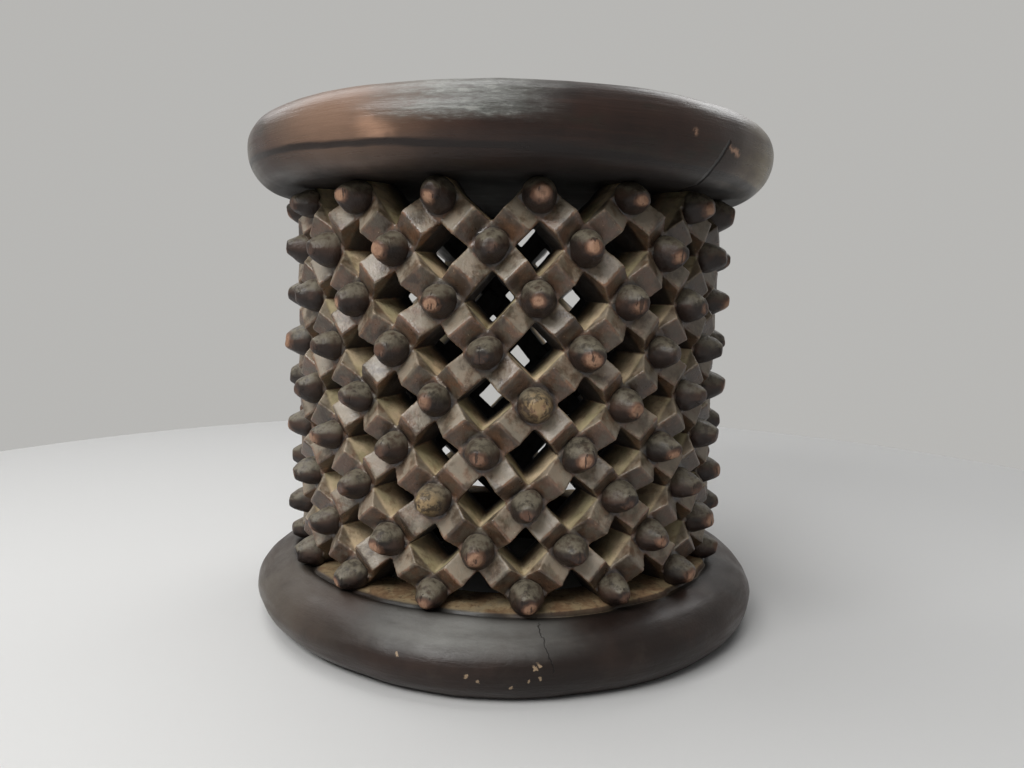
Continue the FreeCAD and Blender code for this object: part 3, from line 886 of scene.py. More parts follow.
class RingPattern(Tree):
    """Sets copies of one member out in rings, row above row."""

    def __init__(self) -> None:
        """Start the tree with its inputs."""
        super().__init__("members in rings", {
            "Member": "Object", "Finish": "Material", "Rows": "Int", "Columns": "Int", "First Level": "Float",
            "Row Pitch": "Float", "Reach": "Float", "Turn": "Float", "Row Turn": "Float", "Lean": "Float",
            "Size Spread": "Vector", "Turn Spread": "Vector", "Seed": "Int",
        })

    def build(self) -> bpy.types.NodeTree:
        """Make the nodes, and give the tree."""
        sheet, given = self.sheet, self.given
        index = sheet.add("GeometryNodeInputIndex").outputs[0]
        row = sheet.math("FLOOR", sheet.math("DIVIDE", sheet.plus(index, 0.5), given["Columns"]))
        column = sheet.math("SUBTRACT", index, sheet.times(row, given["Columns"]))
        step = sheet.math("DIVIDE", math.tau, given["Columns"])
        turn = sheet.math("MULTIPLY_ADD", column, step, given["Turn"])
        turn = sheet.math("MULTIPLY_ADD", sheet.math("MODULO", row, 2.0), given["Row Turn"], turn)
        side = sheet.times(sheet.math("SINE", turn), given["Reach"])
        front = sheet.times(sheet.math("COSINE", turn), sheet.times(given["Reach"], -1.0))
        level = sheet.math("MULTIPLY_ADD", row, given["Row Pitch"], given["First Level"])
        place = sheet.add("ShaderNodeCombineXYZ", {0: side, 1: front, 2: level}).outputs[0]
        facing = sheet.add("ShaderNodeCombineXYZ", {0: 0.0, 1: given["Lean"], 2: turn}).outputs[0]
        count = sheet.times(given["Rows"], given["Columns"])
        grown = self.spread(given["Size Spread"], sheet.plus(given["Seed"], 7.0))
        inputs = {
            "Points": sheet.add("GeometryNodePoints", {"Count": count, "Position": place}).outputs[0],
            "Instance": sheet.add("GeometryNodeObjectInfo", {"Object": given["Member"]}).outputs["Geometry"],
            "Rotation": sheet.vector("ADD", facing, self.spread(given["Turn Spread"], given["Seed"])),
            "Scale": sheet.vector("ADD", grown, (1.0, 1.0, 1.0)),
        }
        return self.close(sheet.add("GeometryNodeInstanceOnPoints", inputs).outputs[0])

    def spread(self, most: object, seed: object) -> object:
        """A random vector for each copy, between minus and plus the most that it may be.

        Args:
            most: The most along each axis.
            seed: Which random numbers to take.

        Returns:
            The socket that holds the vector.
        """
        node = self.sheet.add("FunctionNodeRandomValue", {"Seed": seed}, data_type="FLOAT_VECTOR")
        for socket, bound in zip(node.inputs, (-1.0, 1.0)):
            self.sheet.feed(socket, (bound, bound, bound))
        return self.sheet.stretched(node.outputs[0], most)


class CarvedSkin(Tree):
    """Moves a surface in and out a little, as a knife leaves it."""

    def __init__(self) -> None:
        """Start the tree with its inputs."""
        sizes = ("Lump Depth", "Lump Scale", "Cut Depth", "Cut Scale", "Seed")
        kinds = {"Geometry": "Geometry", **dict.fromkeys(sizes, "Float"), "Finish": "Material"}
        super().__init__("knife marks", kinds)

    def build(self) -> bpy.types.NodeTree:
        """Make the nodes, and give the tree."""
        sheet, given = self.sheet, self.given
        place = sheet.add("GeometryNodeInputPosition").outputs[0]
        lumps = sheet.noise(place, (given["Lump Scale"], 1.0, 0.4, given["Seed"]))
        inputs = {"Vector": place, "Scale": given["Cut Scale"], "Smoothness": 0.35, "W": given["Seed"]}
        settings = {"voronoi_dimensions": "4D", "feature": "SMOOTH_F1"}
        cuts = sheet.add("ShaderNodeTexVoronoi", inputs, **settings).outputs[0]
        height = sheet.times(sheet.plus(lumps, -0.5), given["Lump Depth"])
        scoop = sheet.times(sheet.plus(cuts, -0.5), given["Cut Depth"])
        inputs = {0: sheet.add("GeometryNodeInputNormal").outputs[0], "Scale": sheet.plus(height, scoop)}
        offset = sheet.add("ShaderNodeVectorMath", inputs, operation="SCALE").outputs[0]
        inputs = {"Geometry": given["Geometry"], "Offset": offset}
        return self.close(sheet.add("GeometryNodeSetPosition", inputs).outputs[0])


@dataclass(frozen=True)
class Knife:
    """How one part was carved: broad lumps and small cuts."""

    lump_depth: float
    lump_scale: float
    cut_depth: float
    cut_scale: float
    seed: float

    def work(self, piece: bpy.types.Object, tree: bpy.types.NodeTree, finish: bpy.types.Material) -> None:
        """Put the knife marks and the finish on a piece.

        Args:
            piece: The piece.
            tree: The tree that makes the marks.
            finish: The material.
        """
        run_tree(piece, tree, {
            "Lump Depth": self.lump_depth, "Lump Scale": self.lump_scale, "Cut Depth": self.cut_depth,
            "Cut Scale": self.cut_scale, "Seed": self.seed, "Finish": finish,
        })
        bake_modifiers(piece)


@dataclass
class OpenWall:
    """The openwork wall: slanting struts that cross, each with a ridge across its middle."""

    rings: bpy.types.NodeTree
    skin: bpy.types.NodeTree
    finish: bpy.types.Material
    lattice: Lattice
    wander: Wander
    depth: float = 35.0 * MM
    strut_width: float = 21.6 * MM
    ridge_rise: float = 8.5 * MM
    ridge_flat: float = 1.2 * MM
    ridge_reach: float = 12.4 * MM
    crossing_half_width: float = 14.2 * MM
    crossing_half_height: float = 15.4 * MM
    crossing_sink: float = 0.2 * MM
    # Reach and fade of the painted shade round each stud's foot.
    stud_foot_shade_reach: float = 12.8 * MM
    stud_foot_shade_fade: float = 1.6 * MM
    voxel: float = 1.05 * MM
    kept_share: float = 0.45
    knife: Knife = Knife(1.5 * MM, 30.0, 0.4 * MM, 95.0, 4.0)
    marks: tuple[str, ...] = ("rubbed", "hollow", "inward", "collar")

    @property
    def chord(self) -> float:
        """How far sideways a strut runs, from one crossing to the next row's."""
        return 2.0 * self.lattice.radius * math.sin(self.lattice.half_turn / 2.0)

    def block(self, name: str, first: list[Place], second: list[Place]) -> bpy.types.Object:
        """A solid between two outlines with as many points each.

        Args:
            name: Name of the object.
            first: Points of one outline.
            second: Points of the other.

        Returns:
            The object.
        """
        shape = bmesh.new()
        rings = [[shape.verts.new(point) for point in outline] for outline in (first, second)]
        shape.faces.new(rings[0])
        shape.faces.new(list(reversed(rings[1])))
        join_rings(shape, *rings)
        bmesh.ops.recalc_face_normals(shape, faces=shape.faces)
        return add_piece(name, to_mesh(shape, name))

    def strut_member(self) -> bpy.types.Object:
        """One strut along Z, from crossing to crossing, with its outer face at the origin."""
        half, side = math.hypot(self.chord, self.lattice.row_pitch) / 2.0, self.strut_width / 2.0
        outline = [
            (-half, 0.0), (-self.ridge_reach, 0.0), (-self.ridge_flat / 2, -self.ridge_rise),
            (self.ridge_flat / 2, -self.ridge_rise), (self.ridge_reach, 0.0), (half, 0.0),
            (half, self.depth), (-half, self.depth),
        ]
        left, right = ([(sign * side, inward, along) for along, inward in outline] for sign in (-1.0, 1.0))
        return self.block("strut", left, right)

    def crossing_member(self) -> bpy.types.Object:
        """The block where struts cross, narrower inward, with its outer face at the origin."""
        across, up = self.crossing_half_width, self.crossing_half_height
        corners = ((across, 0.0), (0.0, up), (-across, 0.0), (0.0, -up))
        outlines = []
        for inward in (self.crossing_sink, self.depth):
            share = 1.0 - inward / self.lattice.radius
            outlines.append([(x * share, inward, z) for x, z in corners])
        return self.block("crossing", *outlines)

    def set_out(self) -> bpy.types.Object:
        """All struts and crossings, set out round the wall by the ring tree, as one object."""
        even, half = self.lattice, self.lattice.half_turn
        strut, crossing = self.strut_member(), self.crossing_member()
        common = {
            "Finish": self.finish, "Columns": even.columns, "Row Pitch": even.row_pitch, "Row Turn": half,
        }
        jobs = [{
            "Member": crossing, "Rows": even.rows, "First Level": even.first_row, "Reach": even.radius,
            "Turn": 0.0, "Lean": 0.0, "Size Spread": (0.05, 0.02, 0.05), "Turn Spread": (0.0, 0.02, 0.0),
            "Seed": 3,
        }]
        for side in Lean:
            jobs.append({
                "Member": strut, "Rows": even.rows - 1, "First Level": even.first_row + even.row_pitch / 2.0,
                "Reach": even.radius * math.cos(half / 2.0), "Turn": side.value * half / 2.0,
                "Lean": side.value * math.atan2(self.chord, even.row_pitch), "Size Spread": (0.07, 0.05, 0.0),
                "Turn Spread": (0.035, 0.035, 0.03), "Seed": 20 + side.value,
            })
        whole = bmesh.new()
        for job in jobs:
            carrier = add_piece("set out", bpy.data.meshes.new("set out"))
            run_tree(carrier, self.rings, {**common, **job})
            mesh = plain_mesh(carrier, "set out")
            whole.from_mesh(mesh)
            bpy.data.objects.remove(carrier)
            bpy.data.meshes.remove(mesh)
        for member in (strut, crossing):
            bpy.data.objects.remove(member)
        return add_piece("wall", to_mesh(whole, "wall"))

    def carve(self) -> bpy.types.Mesh:
        """The mesh of the whole wall, as one skin with softened edges and knife marks."""
        wall = self.set_out()
        union = wall.modifiers.new("one skin", "REMESH")
        union.mode = "VOXEL"
        union.voxel_size = self.voxel * 1.0
        union.use_smooth_shade = True
        soften = wall.modifiers.new("soften", "SMOOTH")
        soften.factor = 0.5
        soften.iterations = 2
        self.knife.work(wall, self.skin, self.finish)
        write_points(wall.data, self.wander.shift(read_points(wall.data)))
        self.read_wear(wall.data)
        thinner = wall.modifiers.new("thinner", "DECIMATE")
        thinner.ratio = self.kept_share
        bake_modifiers(wall)
        mesh = wall.data
        log.info("whole wall: %d faces", len(mesh.polygons))
        bpy.data.objects.remove(wall)
        return mesh

    def read_wear(self, mesh: bpy.types.Mesh) -> None:
        """Store how rubbed, how hollow and how far inward each point is, and how near it lies to a stud's
        foot, for painted shade.

        Args:
            mesh: The mesh of the whole wall.
        """
        points, normals = read_points(mesh), read_points(mesh, "normal")
        ends = read_array(mesh.edges, "vertices", 2, np.int32)
        count = np.bincount(ends.ravel(), minlength=len(points)).astype(np.float64)[:, None]
        smooth = points.copy()
        for _ in range(6):
            total = np.zeros_like(smooth)
            for axis in range(3):
                for near, far in ((0, 1), (1, 0)):
                    total[:, axis] += np.bincount(ends[:, near], smooth[ends[:, far], axis], len(points))
            smooth = 0.5 * smooth + 0.5 * total / count
        curve = np.einsum("ij,ij->i", smooth - points, normals) / MM
        inward = np.clip((self.lattice.radius - polar(points)[0]) / self.depth, 0.0, 1.0)
        # Painted shade round the studs' feet, on the outer face only.
        collar = self.collar(points) * (inward < 0.1)
        worn = (rise(-curve, 0.22, 0.35), rise(curve, 0.12, 0.35), inward, collar)
        for name, values in zip(self.marks, worn):
            point_values(mesh, name, values)

    def collar(self, points: np.ndarray) -> np.ndarray:
        """How near each point lies to the foot of a stud, where painted shade darkens the crease.

        Args:
            points: Places, one row each.

        Returns:
            From 0, away from it, to 1, at the foot.
        """
        even, column = self.wander.unshift(points), 2.0 * self.lattice.half_turn
        row = np.rint((even[:, 2] - self.lattice.first_row) / self.lattice.row_pitch)
        row = np.clip(row, 0, self.lattice.rows - 1)
        turn = polar(even)[1] / column - 0.5 * (row % 2)
        aside = (turn - np.rint(turn)) * column * self.lattice.radius
        above = even[:, 2] - self.lattice.first_row - self.lattice.row_pitch * row
        return hump(np.maximum(np.hypot(aside, above) - self.stud_foot_shade_reach, 0.0), 0.0, self.stud_foot_shade_fade)

    def slab(self, mesh: bpy.types.Mesh, low: float, high: float) -> bmesh.types.BMesh:
        """Copy the faces of the wall that lie between two levels, with the marks on their points.

        Args:
            mesh: The mesh, whose points also hold directions by the name of lay.
            low: Lowest level.
            high: Highest level.

        Returns:
            The faces as a shape.
        """
        points = read_points(mesh)
        near = (points[:, 2] > low) & (points[:, 2] < high)
        corners = read_array(mesh.loops, "vertex_index", kind=np.int32)
        counts = read_array(mesh.polygons, "loop_total", kind=np.int32)
        kept = np.logical_and.reduceat(near[corners], np.cumsum(counts) - counts)
        used, fresh = np.unique(corners[np.repeat(kept, counts)], return_inverse=True)
        part = bpy.data.meshes.new("slab")
        part.vertices.add(len(used))
        part.loops.add(len(fresh))
        part.polygons.add(int(kept.sum()))
        part.vertices.foreach_set("co", points[used].astype(np.float32).ravel())
        part.loops.foreach_set("vertex_index", fresh.astype(np.int32).ravel())
        part.polygons.foreach_set("loop_start", (np.cumsum(counts[kept]) - counts[kept]).astype(np.int32))
        part.update(calc_edges=True)
        for name in self.marks:
            point_values(part, name, read_array(mesh.attributes[name].data, "value")[used])
        point_values(part, "lay", read_array(mesh.attributes["lay"].data, "vector", 3)[used])
        shape = bmesh.new()
        shape.from_mesh(part)
        bpy.data.meshes.remove(part)
        return shape

    @staticmethod
    def close_off(shape: bmesh.types.BMesh, level: float, side: float) -> list[bmesh.types.BMFace]:
        """Cut a shape off at a level, and close the cut.

        Args:
            shape: The shape.
            level: Where it is cut.
            side: 1 where what lies above goes, and -1 where what lies below goes.

        Returns:
            The faces that close the cut.
        """
        everything = shape.verts[:] + shape.edges[:] + shape.faces[:]
        bmesh.ops.bisect_plane(shape, geom=everything, dist=1e-7, plane_co=(0.0, 0.0, level),
                               plane_no=(0.0, 0.0, side), clear_outer=True)
        rim = [edge for edge in shape.edges
               if edge.is_boundary and all(abs(vert.co.z - level) < 1e-5 for vert in edge.verts)]
        made = bmesh.ops.holes_fill(shape, edges=rim, sides=0)["faces"]
        return bmesh.ops.triangulate(shape, faces=made)["faces"]

    def band(self, mesh: bpy.types.Mesh, number: int) -> bpy.types.Object:
        """The part of the wall between two rows, closed where it is cut through the crossings.

        Args:
            mesh: The mesh of the whole wall.
            number: Which band, counted from the floor.

        Returns:
            The band as a piece.
        """
        low, high = self.lattice.level(number), self.lattice.level(number + 1)
        first, last = number == 1, number == self.lattice.rows - 1
        margin = 4.0 * self.voxel
        shape = self.slab(mesh, -1.0 if first else low - margin, 1.0 if last else high + margin)
        caps = []
        if not first:
            caps += self.close_off(shape, low, -1.0)
        if not last:
            caps += self.close_off(shape, high, 1.0)
        for face in shape.faces:
            face.smooth = True
        for face in caps:
            face.smooth = False
        name = "wall_band_%d" % number
        result = to_mesh(shape, name)
        result.materials.append(self.finish)
        self.keep_lay(result)
        return add_piece(name, result)

    @staticmethod
    def keep_lay(mesh: bpy.types.Mesh) -> None:
        """Shade a band by the uncut wall's directions, so that the cuts don't show.

        Args:
            mesh: The mesh of one band.
        """
        lay = read_array(mesh.attributes["lay"].data, "vector", 3)
        normals = lay[read_array(mesh.loops, "vertex_index", kind=np.int32)].astype(np.float64)
        for face in mesh.polygons:
            if not face.use_smooth:
                for corner in face.loop_indices:
                    normals[corner] = face.normal
        normals /= np.linalg.norm(normals, axis=1)[:, None]
        mesh.normals_split_custom_set(normals.tolist())
        mesh.attributes.remove(mesh.attributes["lay"])

    def build(self) -> None:
        """Make every band, from the floor up, and tie it to its solids."""
        mesh = self.carve()
        point_values(mesh, "lay", read_points(mesh, "normal"))
        for number in range(1, self.lattice.rows):
            nodes = ["crossings_row_%d" % number, "right_struts_%d" % number, "left_struts_%d" % number]
            if number == self.lattice.rows - 1:
                nodes.append("crossings_row_%d" % self.lattice.rows)
            hand_over(self.band(mesh, number), Slot.WALL, *nodes)
        bpy.data.meshes.remove(mesh)


@dataclass
class Studs:
    """Blunt round studs, one on each crossing."""

    rings: bpy.types.NodeTree
    skin: bpy.types.NodeTree
    finish: bpy.types.Material
    lattice: Lattice
    wander: Wander
    segments: int = 24
    flats: int = 7
    # Radius and place outward in millimetres, and how far it counts as the tip.
    profile: tuple[tuple[float, float, float], ...] = (
        (12.3, 4.0, 0.0), (12.6, 0.0, 0.0), (12.3, -3.2, 0.0), (11.3, -6.8, 0.1), (9.7, -10.6, 0.25),
        (7.8, -14.2, 0.5), (6.0, -17.0, 0.8), (4.9, -18.0, 1.0), (2.4, -18.2, 1.0),
    )
    tip_slant: float = 0.16
    knife: Knife = Knife(2.6 * MM, 75.0, 0.5 * MM, 160.0, 9.0)
    # Row and column of the two studs that are straw coloured.
    straw_studs: tuple[tuple[int, int], ...] = ((5, 0), (3, 15))
    straw_share: float = 0.9

    def member(self) -> bpy.types.Object:
        """One stud that points along -Y, with its foot sunk in the wall."""
        shape = bmesh.new()
        tip = shape.verts.layers.float.new("tip")
        rings = []
        for reach, out, mark in self.profile:
            ring = []
            for step in range(self.segments):
                angle = math.tau * step / self.segments
                turned = angle % (math.tau / self.flats) - math.pi / self.flats
                flat = math.cos(math.pi / self.flats) / math.cos(turned)
                across = reach * MM * (1.0 + (flat - 1.0) * (0.3 + 0.7 * mark) + 0.02)
                slope = self.tip_slant * across * math.cos(angle) * mark
                vert = shape.verts.new((across * math.cos(angle), out * MM + slope, across * math.sin(angle)))
                vert[tip] = mark
                ring.append(vert)
            rings.append(ring)
        for lower, upper in zip(rings, rings[1:]):
            join_rings(shape, lower, upper)
        peak = shape.verts.new((0.0, self.profile[-1][1] * MM, 0.0))
        peak[tip] = 1.0
        foot = shape.verts.new((0.0, self.profile[0][1] * MM, 0.0))
        for step in range(self.segments):
            after = (step + 1) % self.segments
            shape.faces.new((rings[-1][step], rings[-1][after], peak))
            shape.faces.new((rings[0][after], rings[0][step], foot))
        bmesh.ops.recalc_face_normals(shape, faces=shape.faces)
        for face in shape.faces:
            face.smooth = True
        return add_piece("stud", to_mesh(shape, "stud"))

    def row(self, member: bpy.types.Object, number: int) -> None:
        """Make one row of studs and tie it to its solids.

        Args:
            member: The stud to repeat.
            number: Which row, counted from the floor.
        """
        name, even = "stud_ring_%d" % number, self.lattice
        piece = add_piece(name, bpy.data.meshes.new(name))
        run_tree(piece, self.rings, {
            "Member": member, "Finish": self.finish, "Rows": 1, "Columns": even.columns,
            "Row Pitch": even.row_pitch, "First Level": even.level(number), "Reach": even.radius,
            "Turn": 0.0 if number % 2 else even.half_turn, "Row Turn": 0.0, "Lean": 0.0,
            "Size Spread": (0.07, 0.06, 0.07), "Turn Spread": (0.09, math.pi, 0.06), "Seed": 40 + number,
        })
        rounder = piece.modifiers.new("rounder", "SUBSURF")
        rounder.levels = rounder.render_levels = 1
        self.knife.work(piece, self.skin, self.finish)
        self.rub(piece.data, number)
        write_points(piece.data, self.wander.shift(read_points(piece.data)))
        hand_over(piece, Slot.STUD, "studs_row_%d" % number)

    def rub(self, mesh: bpy.types.Mesh, number: int) -> None:
        """Store how far each stud's tip is rubbed bare.

        Args:
            mesh: The row's mesh.
            number: Which row, counted from the floor.
        """
        points, columns = read_points(mesh), self.lattice.columns
        turn = polar(points)[1] * columns / math.tau - (0.0 if number % 2 else 0.5)
        column = np.rint(turn).astype(int) % columns
        chance = np.random.default_rng(100 + number)
        amount = np.clip(chance.uniform(0.1, 1.2, columns), 0.0, 1.0)
        spans = ((3.4, 6.0), (-3.0, 1.2), (-3.8, 0.8))
        wide, aside, above = (chance.uniform(*span, columns) * MM for span in spans)
        off_axis = (turn - np.rint(turn)) * math.tau / columns * self.lattice.radius
        off_level = points[:, 2] - self.lattice.level(number)
        away = np.hypot(off_axis - aside[column], off_level - above[column])
        patch = np.clip(1.6 - away / wide[column], 0.0, 1.0)
        straw = np.zeros(columns)
        for row, place in self.straw_studs:
            if row == number:
                straw[place] = self.straw_share
        tip = np.clip(read_array(mesh.attributes["tip"].data, "value") * 1.6, 0.0, 1.0)
        point_values(mesh, "bare", tip * patch * amount[column])
        point_values(mesh, "straw", tip * straw[column])

    def build(self) -> None:
        """Make every row, from the floor up."""
        member = self.member()
        for number in range(1, self.lattice.rows + 1):
            self.row(member, number)
        bpy.data.objects.remove(member)


class Outline:
    """A profile of reach and level that grows by lines and arcs."""

    def __init__(self, reach: float, level: float) -> None:
        """Start at one point."""
        self.points: Profile = [(reach, level)]

    def line(self, reach: float, level: float, count: int) -> None:
        """Go on along a line, in so many steps."""
        x, y = self.points[-1]
        for step in range(1, count + 1):
            self.points.append((x + (reach - x) * step / count, y + (level - y) * step / count))

    def arc(self, reach: float, level: float, bulge: float, count: int) -> None:
        """Go on along an arc.

        Args:
            reach: Reach of its end.
            level: Level of its end.
            bulge: Height of the arc over its chord, out to the right going along.
            count: How many steps.
        """
        (x0, y0), (x1, y1) = self.points[-1], (reach, level)
        chord = math.hypot(x1 - x0, y1 - y0)
        radius = (chord * chord / 4.0 + bulge * bulge) / (2.0 * bulge)
        x = (x0 + x1) / 2.0 - (y1 - y0) / chord * (radius - bulge)
        y = (y0 + y1) / 2.0 - (x0 - x1) / chord * (radius - bulge)
        first, last = math.atan2(y0 - y, x0 - x), math.atan2(y1 - y, x1 - x)
        if last < first:
            last += math.tau
        for step in range(1, count + 1):
            angle = first + (last - first) * step / count
            self.points.append((x + radius * math.cos(angle), y + radius * math.sin(angle)))


@dataclass
class TurnedPart:
    """A round part that is turned from a profile, made uneven and then carved."""

    skin: bpy.types.NodeTree
    finish: bpy.types.Material
    radius: float = 222.0 * MM
    columns: int = 640

    def turned(self, name: str, profile: Profile, closed: bool) -> bpy.types.Mesh:
        """Turn a profile about the upright axis.

        Args:
            name: Name of the mesh.
            profile: Reach and level of each point, running anticlockwise seen from the front.
            closed: Whether the profile is a loop. An open one starts and ends on the axis.

        Returns:
            The mesh.
        """
        shape = bmesh.new()
        rings = []
        angles = [math.tau * step / self.columns for step in range(self.columns)]
        for reach, level in profile:
            if reach < 1e-6:
                rings.append([shape.verts.new((0.0, 0.0, level))] * self.columns)
            else:
                points = [(reach * math.cos(angle), reach * math.sin(angle), level) for angle in angles]
                rings.append([shape.verts.new(point) for point in points])
        for lower, upper in zip(rings, rings[1:] + rings[:1] if closed else rings[1:]):
            join_rings(shape, lower, upper)
        for face in shape.faces:
            face.smooth = True
        bmesh.ops.recalc_face_normals(shape, faces=shape.faces)
        return to_mesh(shape, name)

    def carve(self, mesh: bpy.types.Mesh, knife: Knife, low: float, high: float) -> bpy.types.Object:
        """Put knife marks on a mesh, and hold it within its radius and between two levels.

        Args:
            mesh: The mesh, which gives the piece its name.
            knife: How it was carved.
            low: Lowest level.
            high: Highest level.

        Returns:
            The piece.
        """
        piece = add_piece(mesh.name, mesh)
        knife.work(piece, self.skin, self.finish)
        points = read_points(piece.data)
        points[:, :2] *= np.minimum(1.0, self.radius / np.maximum(polar(points)[0], 1e-9))[:, None]
        points[:, 2] = np.clip(points[:, 2], low, high)
        write_points(piece.data, points)
        return piece


@dataclass
class Seat(TurnedPart):
    """The thick round seat with a full round rim."""

    under: float = 355.6 * MM
    widest: float = 388.6 * MM
    top: float = 411.6 * MM
    under_radius: float = 200.0 * MM
    top_radius: float = 200.5 * MM
    inset: float = 1.2 * MM
    unevenness: float = 0.7 * MM
    rim_waves: tuple[Wave, ...] = ((1.0, 3.0, 0.0, 0.7), (0.7, 7.0, 0.0, 2.0), (0.5, 12.0, 30.0, 0.0))
    knife: Knife = Knife(1.6 * MM, 16.0, 0.5 * MM, 42.0, 2.0)

    def profile(self) -> Profile:
        """Reach and level of the rim and both faces."""
        outline = Outline(0.0, self.under)
        outline.line(self.under_radius - 2.0 * MM, self.under, 40)
        outline.arc(self.radius, self.widest, 7.2 * MM, 26)
        outline.arc(self.top_radius, self.top, 6.0 * MM, 22)
        outline.line(0.0, self.top, 40)
        return outline.points

    def build(self) -> None:
        """Make the seat and tie it to its solid."""
        mesh = self.turned("carved_seat", self.profile(), closed=False)
        points = read_points(mesh)
        reach, turn = polar(points)
        uneven = self.inset + self.unevenness * waves(turn, points[:, 2], self.rim_waves)
        points[:, :2] *= (1.0 - uneven / self.radius * rise(reach, 0.0, 0.2))[:, None]
        write_points(mesh, points)
        hand_over(self.carve(mesh, self.knife, self.under, self.top), Slot.SEAT, "seat_slab")


@dataclass
class Base(TurnedPart):
    """The thick ring on the floor, with a ledge that carries the wall."""

    height: float = 53.0 * MM
    highest: float = 58.0 * MM
    foot_radius: float = 207.0 * MM
    widest: float = 24.0 * MM
    # Reach, level and bulge of each arc over the shoulder, in millimetres.
    shoulder: tuple[tuple[float, float, float], ...] = (
        (219.6, 32.0, 0.60), (214.0, 38.6, 0.30), (206.0, 43.7, 0.34), (196.0, 46.9, 0.22),
        (186.5, 48.8, 0.14),
    )
    ledge_radius: float = 179.0 * MM
    hole_radius: float = 145.0 * MM
    inset: float = 1.6 * MM
    unevenness: float = 0.7 * MM
    rim_waves: tuple[Wave, ...] = ((1.0, 2.0, 0.0, 1.7), (0.8, 5.0, 0.0, 0.4), (0.6, 9.0, 40.0, 0.0))
    lip_waves: tuple[Wave, ...] = (
        (1.0, 16.0, 0.0, -math.pi / 2), (0.5, 23.0, 0.0, 0.8), (0.4, 41.0, 0.0, 2.0),
    )
    lip_radius: float = 180.5 * MM
    lip_width: float = 5.5 * MM
    groove_radius: float = 185.5 * MM
    groove_width: float = 5.2 * MM
    shelf_radius: float = 185.0 * MM
    shelf_dent: float = 4.0 * MM
    swell: float = 3.4 * MM
    foot_shift: float = 4.5 * MM
    foot_lift: float = 1.8 * MM
    knife: Knife = Knife(2.0 * MM, 15.0, 0.9 * MM, 36.0, 6.0)

    def profile(self) -> Profile:
        """Reach and level round the ring's section."""
        outline = Outline(self.hole_radius, 3.0 * MM)
        outline.arc(self.hole_radius + 3.0 * MM, 0.0, 0.8 * MM, 4)
        outline.line(self.foot_radius - 1.0 * MM, 0.0, 14)
        outline.arc(self.radius, self.widest, 3.6 * MM, 20)
        for reach, level, bulge in self.shoulder:
            outline.arc(reach * MM, level * MM, bulge * MM, 9)
        outline.line(self.ledge_radius + 4.4 * MM, self.height - 4.2 * MM, 3)
        outline.line(self.ledge_radius + 3.0 * MM, self.height - 1.8 * MM, 3)
        outline.arc(self.ledge_radius, self.height, 0.7 * MM, 4)
        outline.line(self.hole_radius + 1.0 * MM, self.height, 14)
        outline.line(self.hole_radius, self.height - 1.0 * MM, 1)
        outline.line(self.hole_radius, 3.0 * MM, 16)
        return outline.points[:-1]

    def uneven(self, mesh: bpy.types.Mesh) -> None:
        """Give the ring its wavy lip, the swell on the left of its shoulder, and its leaning foot.

        Args:
            mesh: The turned mesh. It also gets the mark for painted shade in the groove, and the mark of the
                ledge.
        """
        points = read_points(mesh)
        (reach, turn), level = polar(points), points[:, 2].copy()
        lobes = waves(turn, level, self.lip_waves)
        lip = hump(reach, self.lip_radius, self.lip_width) * rise(level, 0.045, 0.004)
        crown = 1.0 / (1.0 + np.exp((turn + 0.12) / 0.09)) / (1.0 + np.exp(-(turn + 1.9) / 0.3))
        swell = crown * hump(reach, 0.1890, 0.0090) * rise(reach, self.lip_radius, 0.003)
        swell = swell * rise(level, 0.030, 0.015)
        pull = self.inset + self.unevenness * waves(turn, level, self.rim_waves)
        pull = 1.0 - pull / self.radius * rise(reach, 0.180, 0.03) + 2.3 * MM * lobes * lip / 0.180
        points[:, :2] *= pull[:, None]
        points[:, 2] += lip * (0.9 * MM * lobes - 1.0 * MM) + self.swell * swell
        foot = rise(reach, 0.185, 0.02) * np.clip(1.0 - points[:, 2] / 0.026, 0.0, 1.0)
        points[:, 0] += self.foot_shift * foot * np.cos(turn / 2.0) ** 2
        points[:, 2] += self.foot_lift * foot * hump(turn, -0.9, 0.5)
        write_points(mesh, points)
        # Mark for painted shade in the groove under the lip.
        groove = hump(reach, self.groove_radius, self.groove_width)
        point_values(mesh, "groove", groove * (points[:, 2] > 0.04))
        shelf = rise(self.shelf_radius - self.shelf_dent * crown - reach, 0.0, 0.003)
        point_values(mesh, "ledge", shelf * rise(points[:, 2], 0.0475, 0.002))

    def build(self) -> None:
        """Make the ring and tie it to its solid."""
        mesh = self.turned("carved_base", self.profile(), closed=True)
        self.uneven(mesh)
        hand_over(self.carve(mesh, self.knife, 0.0, self.highest), Slot.BASE, "base_ring")


@dataclass(frozen=True)
class Lamp:
    """One soft oblong lamp that faces the table, with its power in watts."""

    name: str
    place: Place
    width: float
    tall: float
    power: float

    def hang(self) -> None:
        """Make the lamp."""
        light = bpy.data.lights.new(self.name, "AREA")
        light.shape = "RECTANGLE"
        light.size = self.width
        light.size_y = self.tall
        light.energy = self.power
        lamp = bpy.data.objects.new(self.name, light)
        bpy.context.scene.collection.objects.link(lamp)
        aim = Vector((0.0, 0.0, 0.2)) - Vector(self.place)
        lamp.matrix_world = Matrix.Translation(self.place) @ aim.to_track_quat("-Z", "Y").to_matrix().to_4x4()


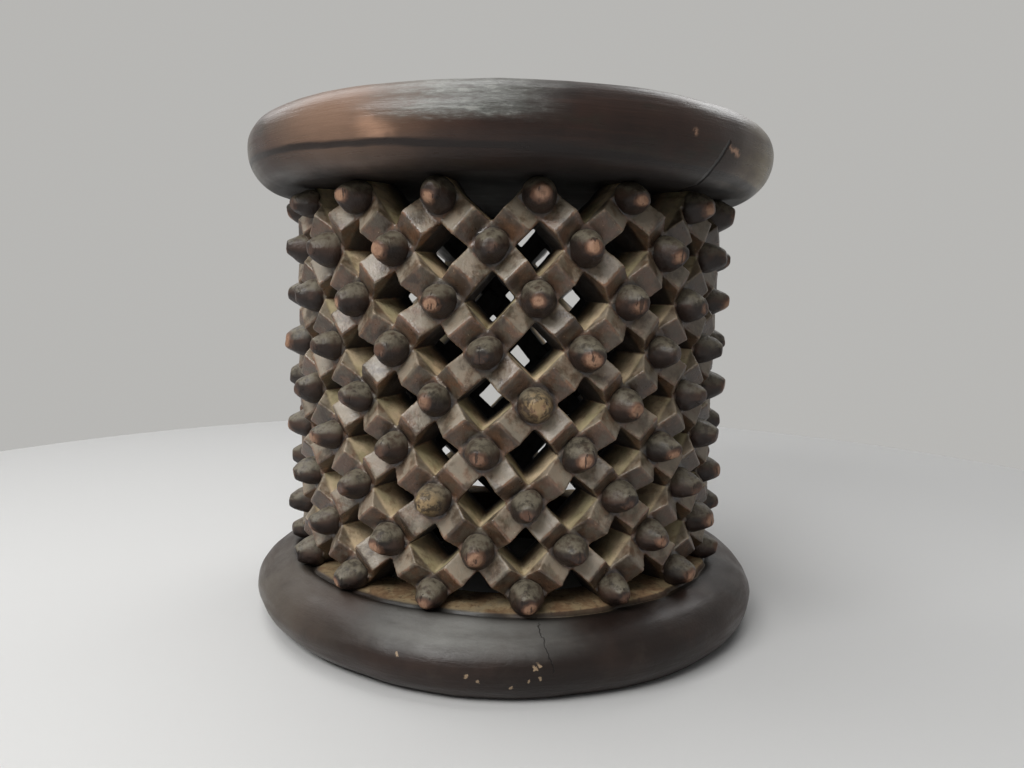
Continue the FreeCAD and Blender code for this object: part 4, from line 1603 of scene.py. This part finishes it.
@dataclass
class Studio:
    """Camera, pale floor and soft light."""

    distance: float = 0.7105
    height: float = 0.2807
    heading: float = 6.22
    yaw: float = 0.377
    pitch: float = 7.0
    roll: float = 0.963
    sensor: float = 36.0
    focal_share: float = 780.0 / 1024.0
    air: Colour = (0.95, 0.97, 1.0)
    air_strength: float = 0.14
    backdrop: Colour = (0.475, 0.470, 0.455)
    lamps: tuple[Lamp, ...] = (
        Lamp("window lamp", (-0.90, -0.90, 1.18), 0.95, 0.45, 14.0),
        Lamp("front lamp", (-0.25, -1.05, 1.45), 0.60, 0.60, 4.0),
        Lamp("ceiling lamp", (-0.45, 0.25, 1.90), 1.30, 1.50, 13.0),
        Lamp("right back lamp", (1.10, 1.00, 1.60), 0.90, 0.90, 6.5),
        Lamp("left back lamp", (-1.10, 1.00, 1.40), 0.70, 0.70, 3.0),
    )

    def camera(self) -> None:
        """Stand the camera where the photograph was taken from."""
        lens = bpy.data.cameras.new("view")
        lens.sensor_width = self.sensor
        lens.lens = self.sensor * self.focal_share
        lens.clip_start = 0.01
        eye = bpy.data.objects.new("view", lens)
        bpy.context.scene.collection.objects.link(eye)
        side = math.radians(self.heading)
        place = Vector((-self.distance * math.sin(side), -self.distance * math.cos(side), self.height))
        turned = Matrix.Rotation(-math.radians(self.heading + self.yaw), 4, "Z")
        turned = turned @ Matrix.Rotation(math.radians(90.0 - self.pitch), 4, "X")
        turned = turned @ Matrix.Rotation(math.radians(self.roll), 4, "Z")
        eye.matrix_world = Matrix.Translation(place) @ turned
        bpy.context.scene.camera = eye

    def floor(self) -> None:
        """Lay a pale floor."""
        shape = bmesh.new()
        bmesh.ops.create_circle(shape, cap_ends=True, segments=96, radius=1.0)
        floor = add_piece("floor", to_mesh(shape, "floor"))
        floor.data.materials.append(FloorFinish().material())

    def surround(self) -> None:
        """Light the air all round, and show a pale grey behind."""
        world = bpy.data.worlds.new("air")
        bpy.context.scene.world = world
        world.use_nodes = True
        world.node_tree.nodes.clear()
        sheet = NodeSheet(world.node_tree)
        path = sheet.add("ShaderNodeLightPath").outputs
        seen = sheet.math("MAXIMUM", path["Is Camera Ray"], path["Is Transmission Ray"])
        seen = sheet.math("MAXIMUM", seen, path["Is Glossy Ray"])
        soft = sheet.add("ShaderNodeBackground", {"Color": self.air, "Strength": self.air_strength})
        shown = sheet.add("ShaderNodeBackground", {"Color": self.backdrop, "Strength": 1.0})
        joined = sheet.add("ShaderNodeMixShader", {0: seen, 1: soft.outputs[0], 2: shown.outputs[0]})
        sheet.add("ShaderNodeOutputWorld", {"Surface": joined.outputs[0]})

    def build(self) -> None:
        """Make the camera, the floor and the light."""
        self.camera()
        self.floor()
        for lamp in self.lamps:
            lamp.hang()
        self.surround()
        bpy.context.scene.view_settings.view_transform = "Standard"


def main() -> None:
    """Build the studio and every piece of the table."""
    logging.basicConfig(level=logging.INFO, format="%(message)s")
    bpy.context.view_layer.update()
    Studio().build()
    rings, skin, lattice = RingPattern().build(), CarvedSkin().build(), Lattice()
    wander = Wander(lattice)
    Seat(skin, SeatFinish().material()).build()
    Base(skin, BaseFinish().material()).build()
    OpenWall(rings, skin, WallFinish().material(), lattice, wander).build()
    Studs(rings, skin, StudFinish().material(), lattice, wander).build()


if __name__ == "__main__":
    main()
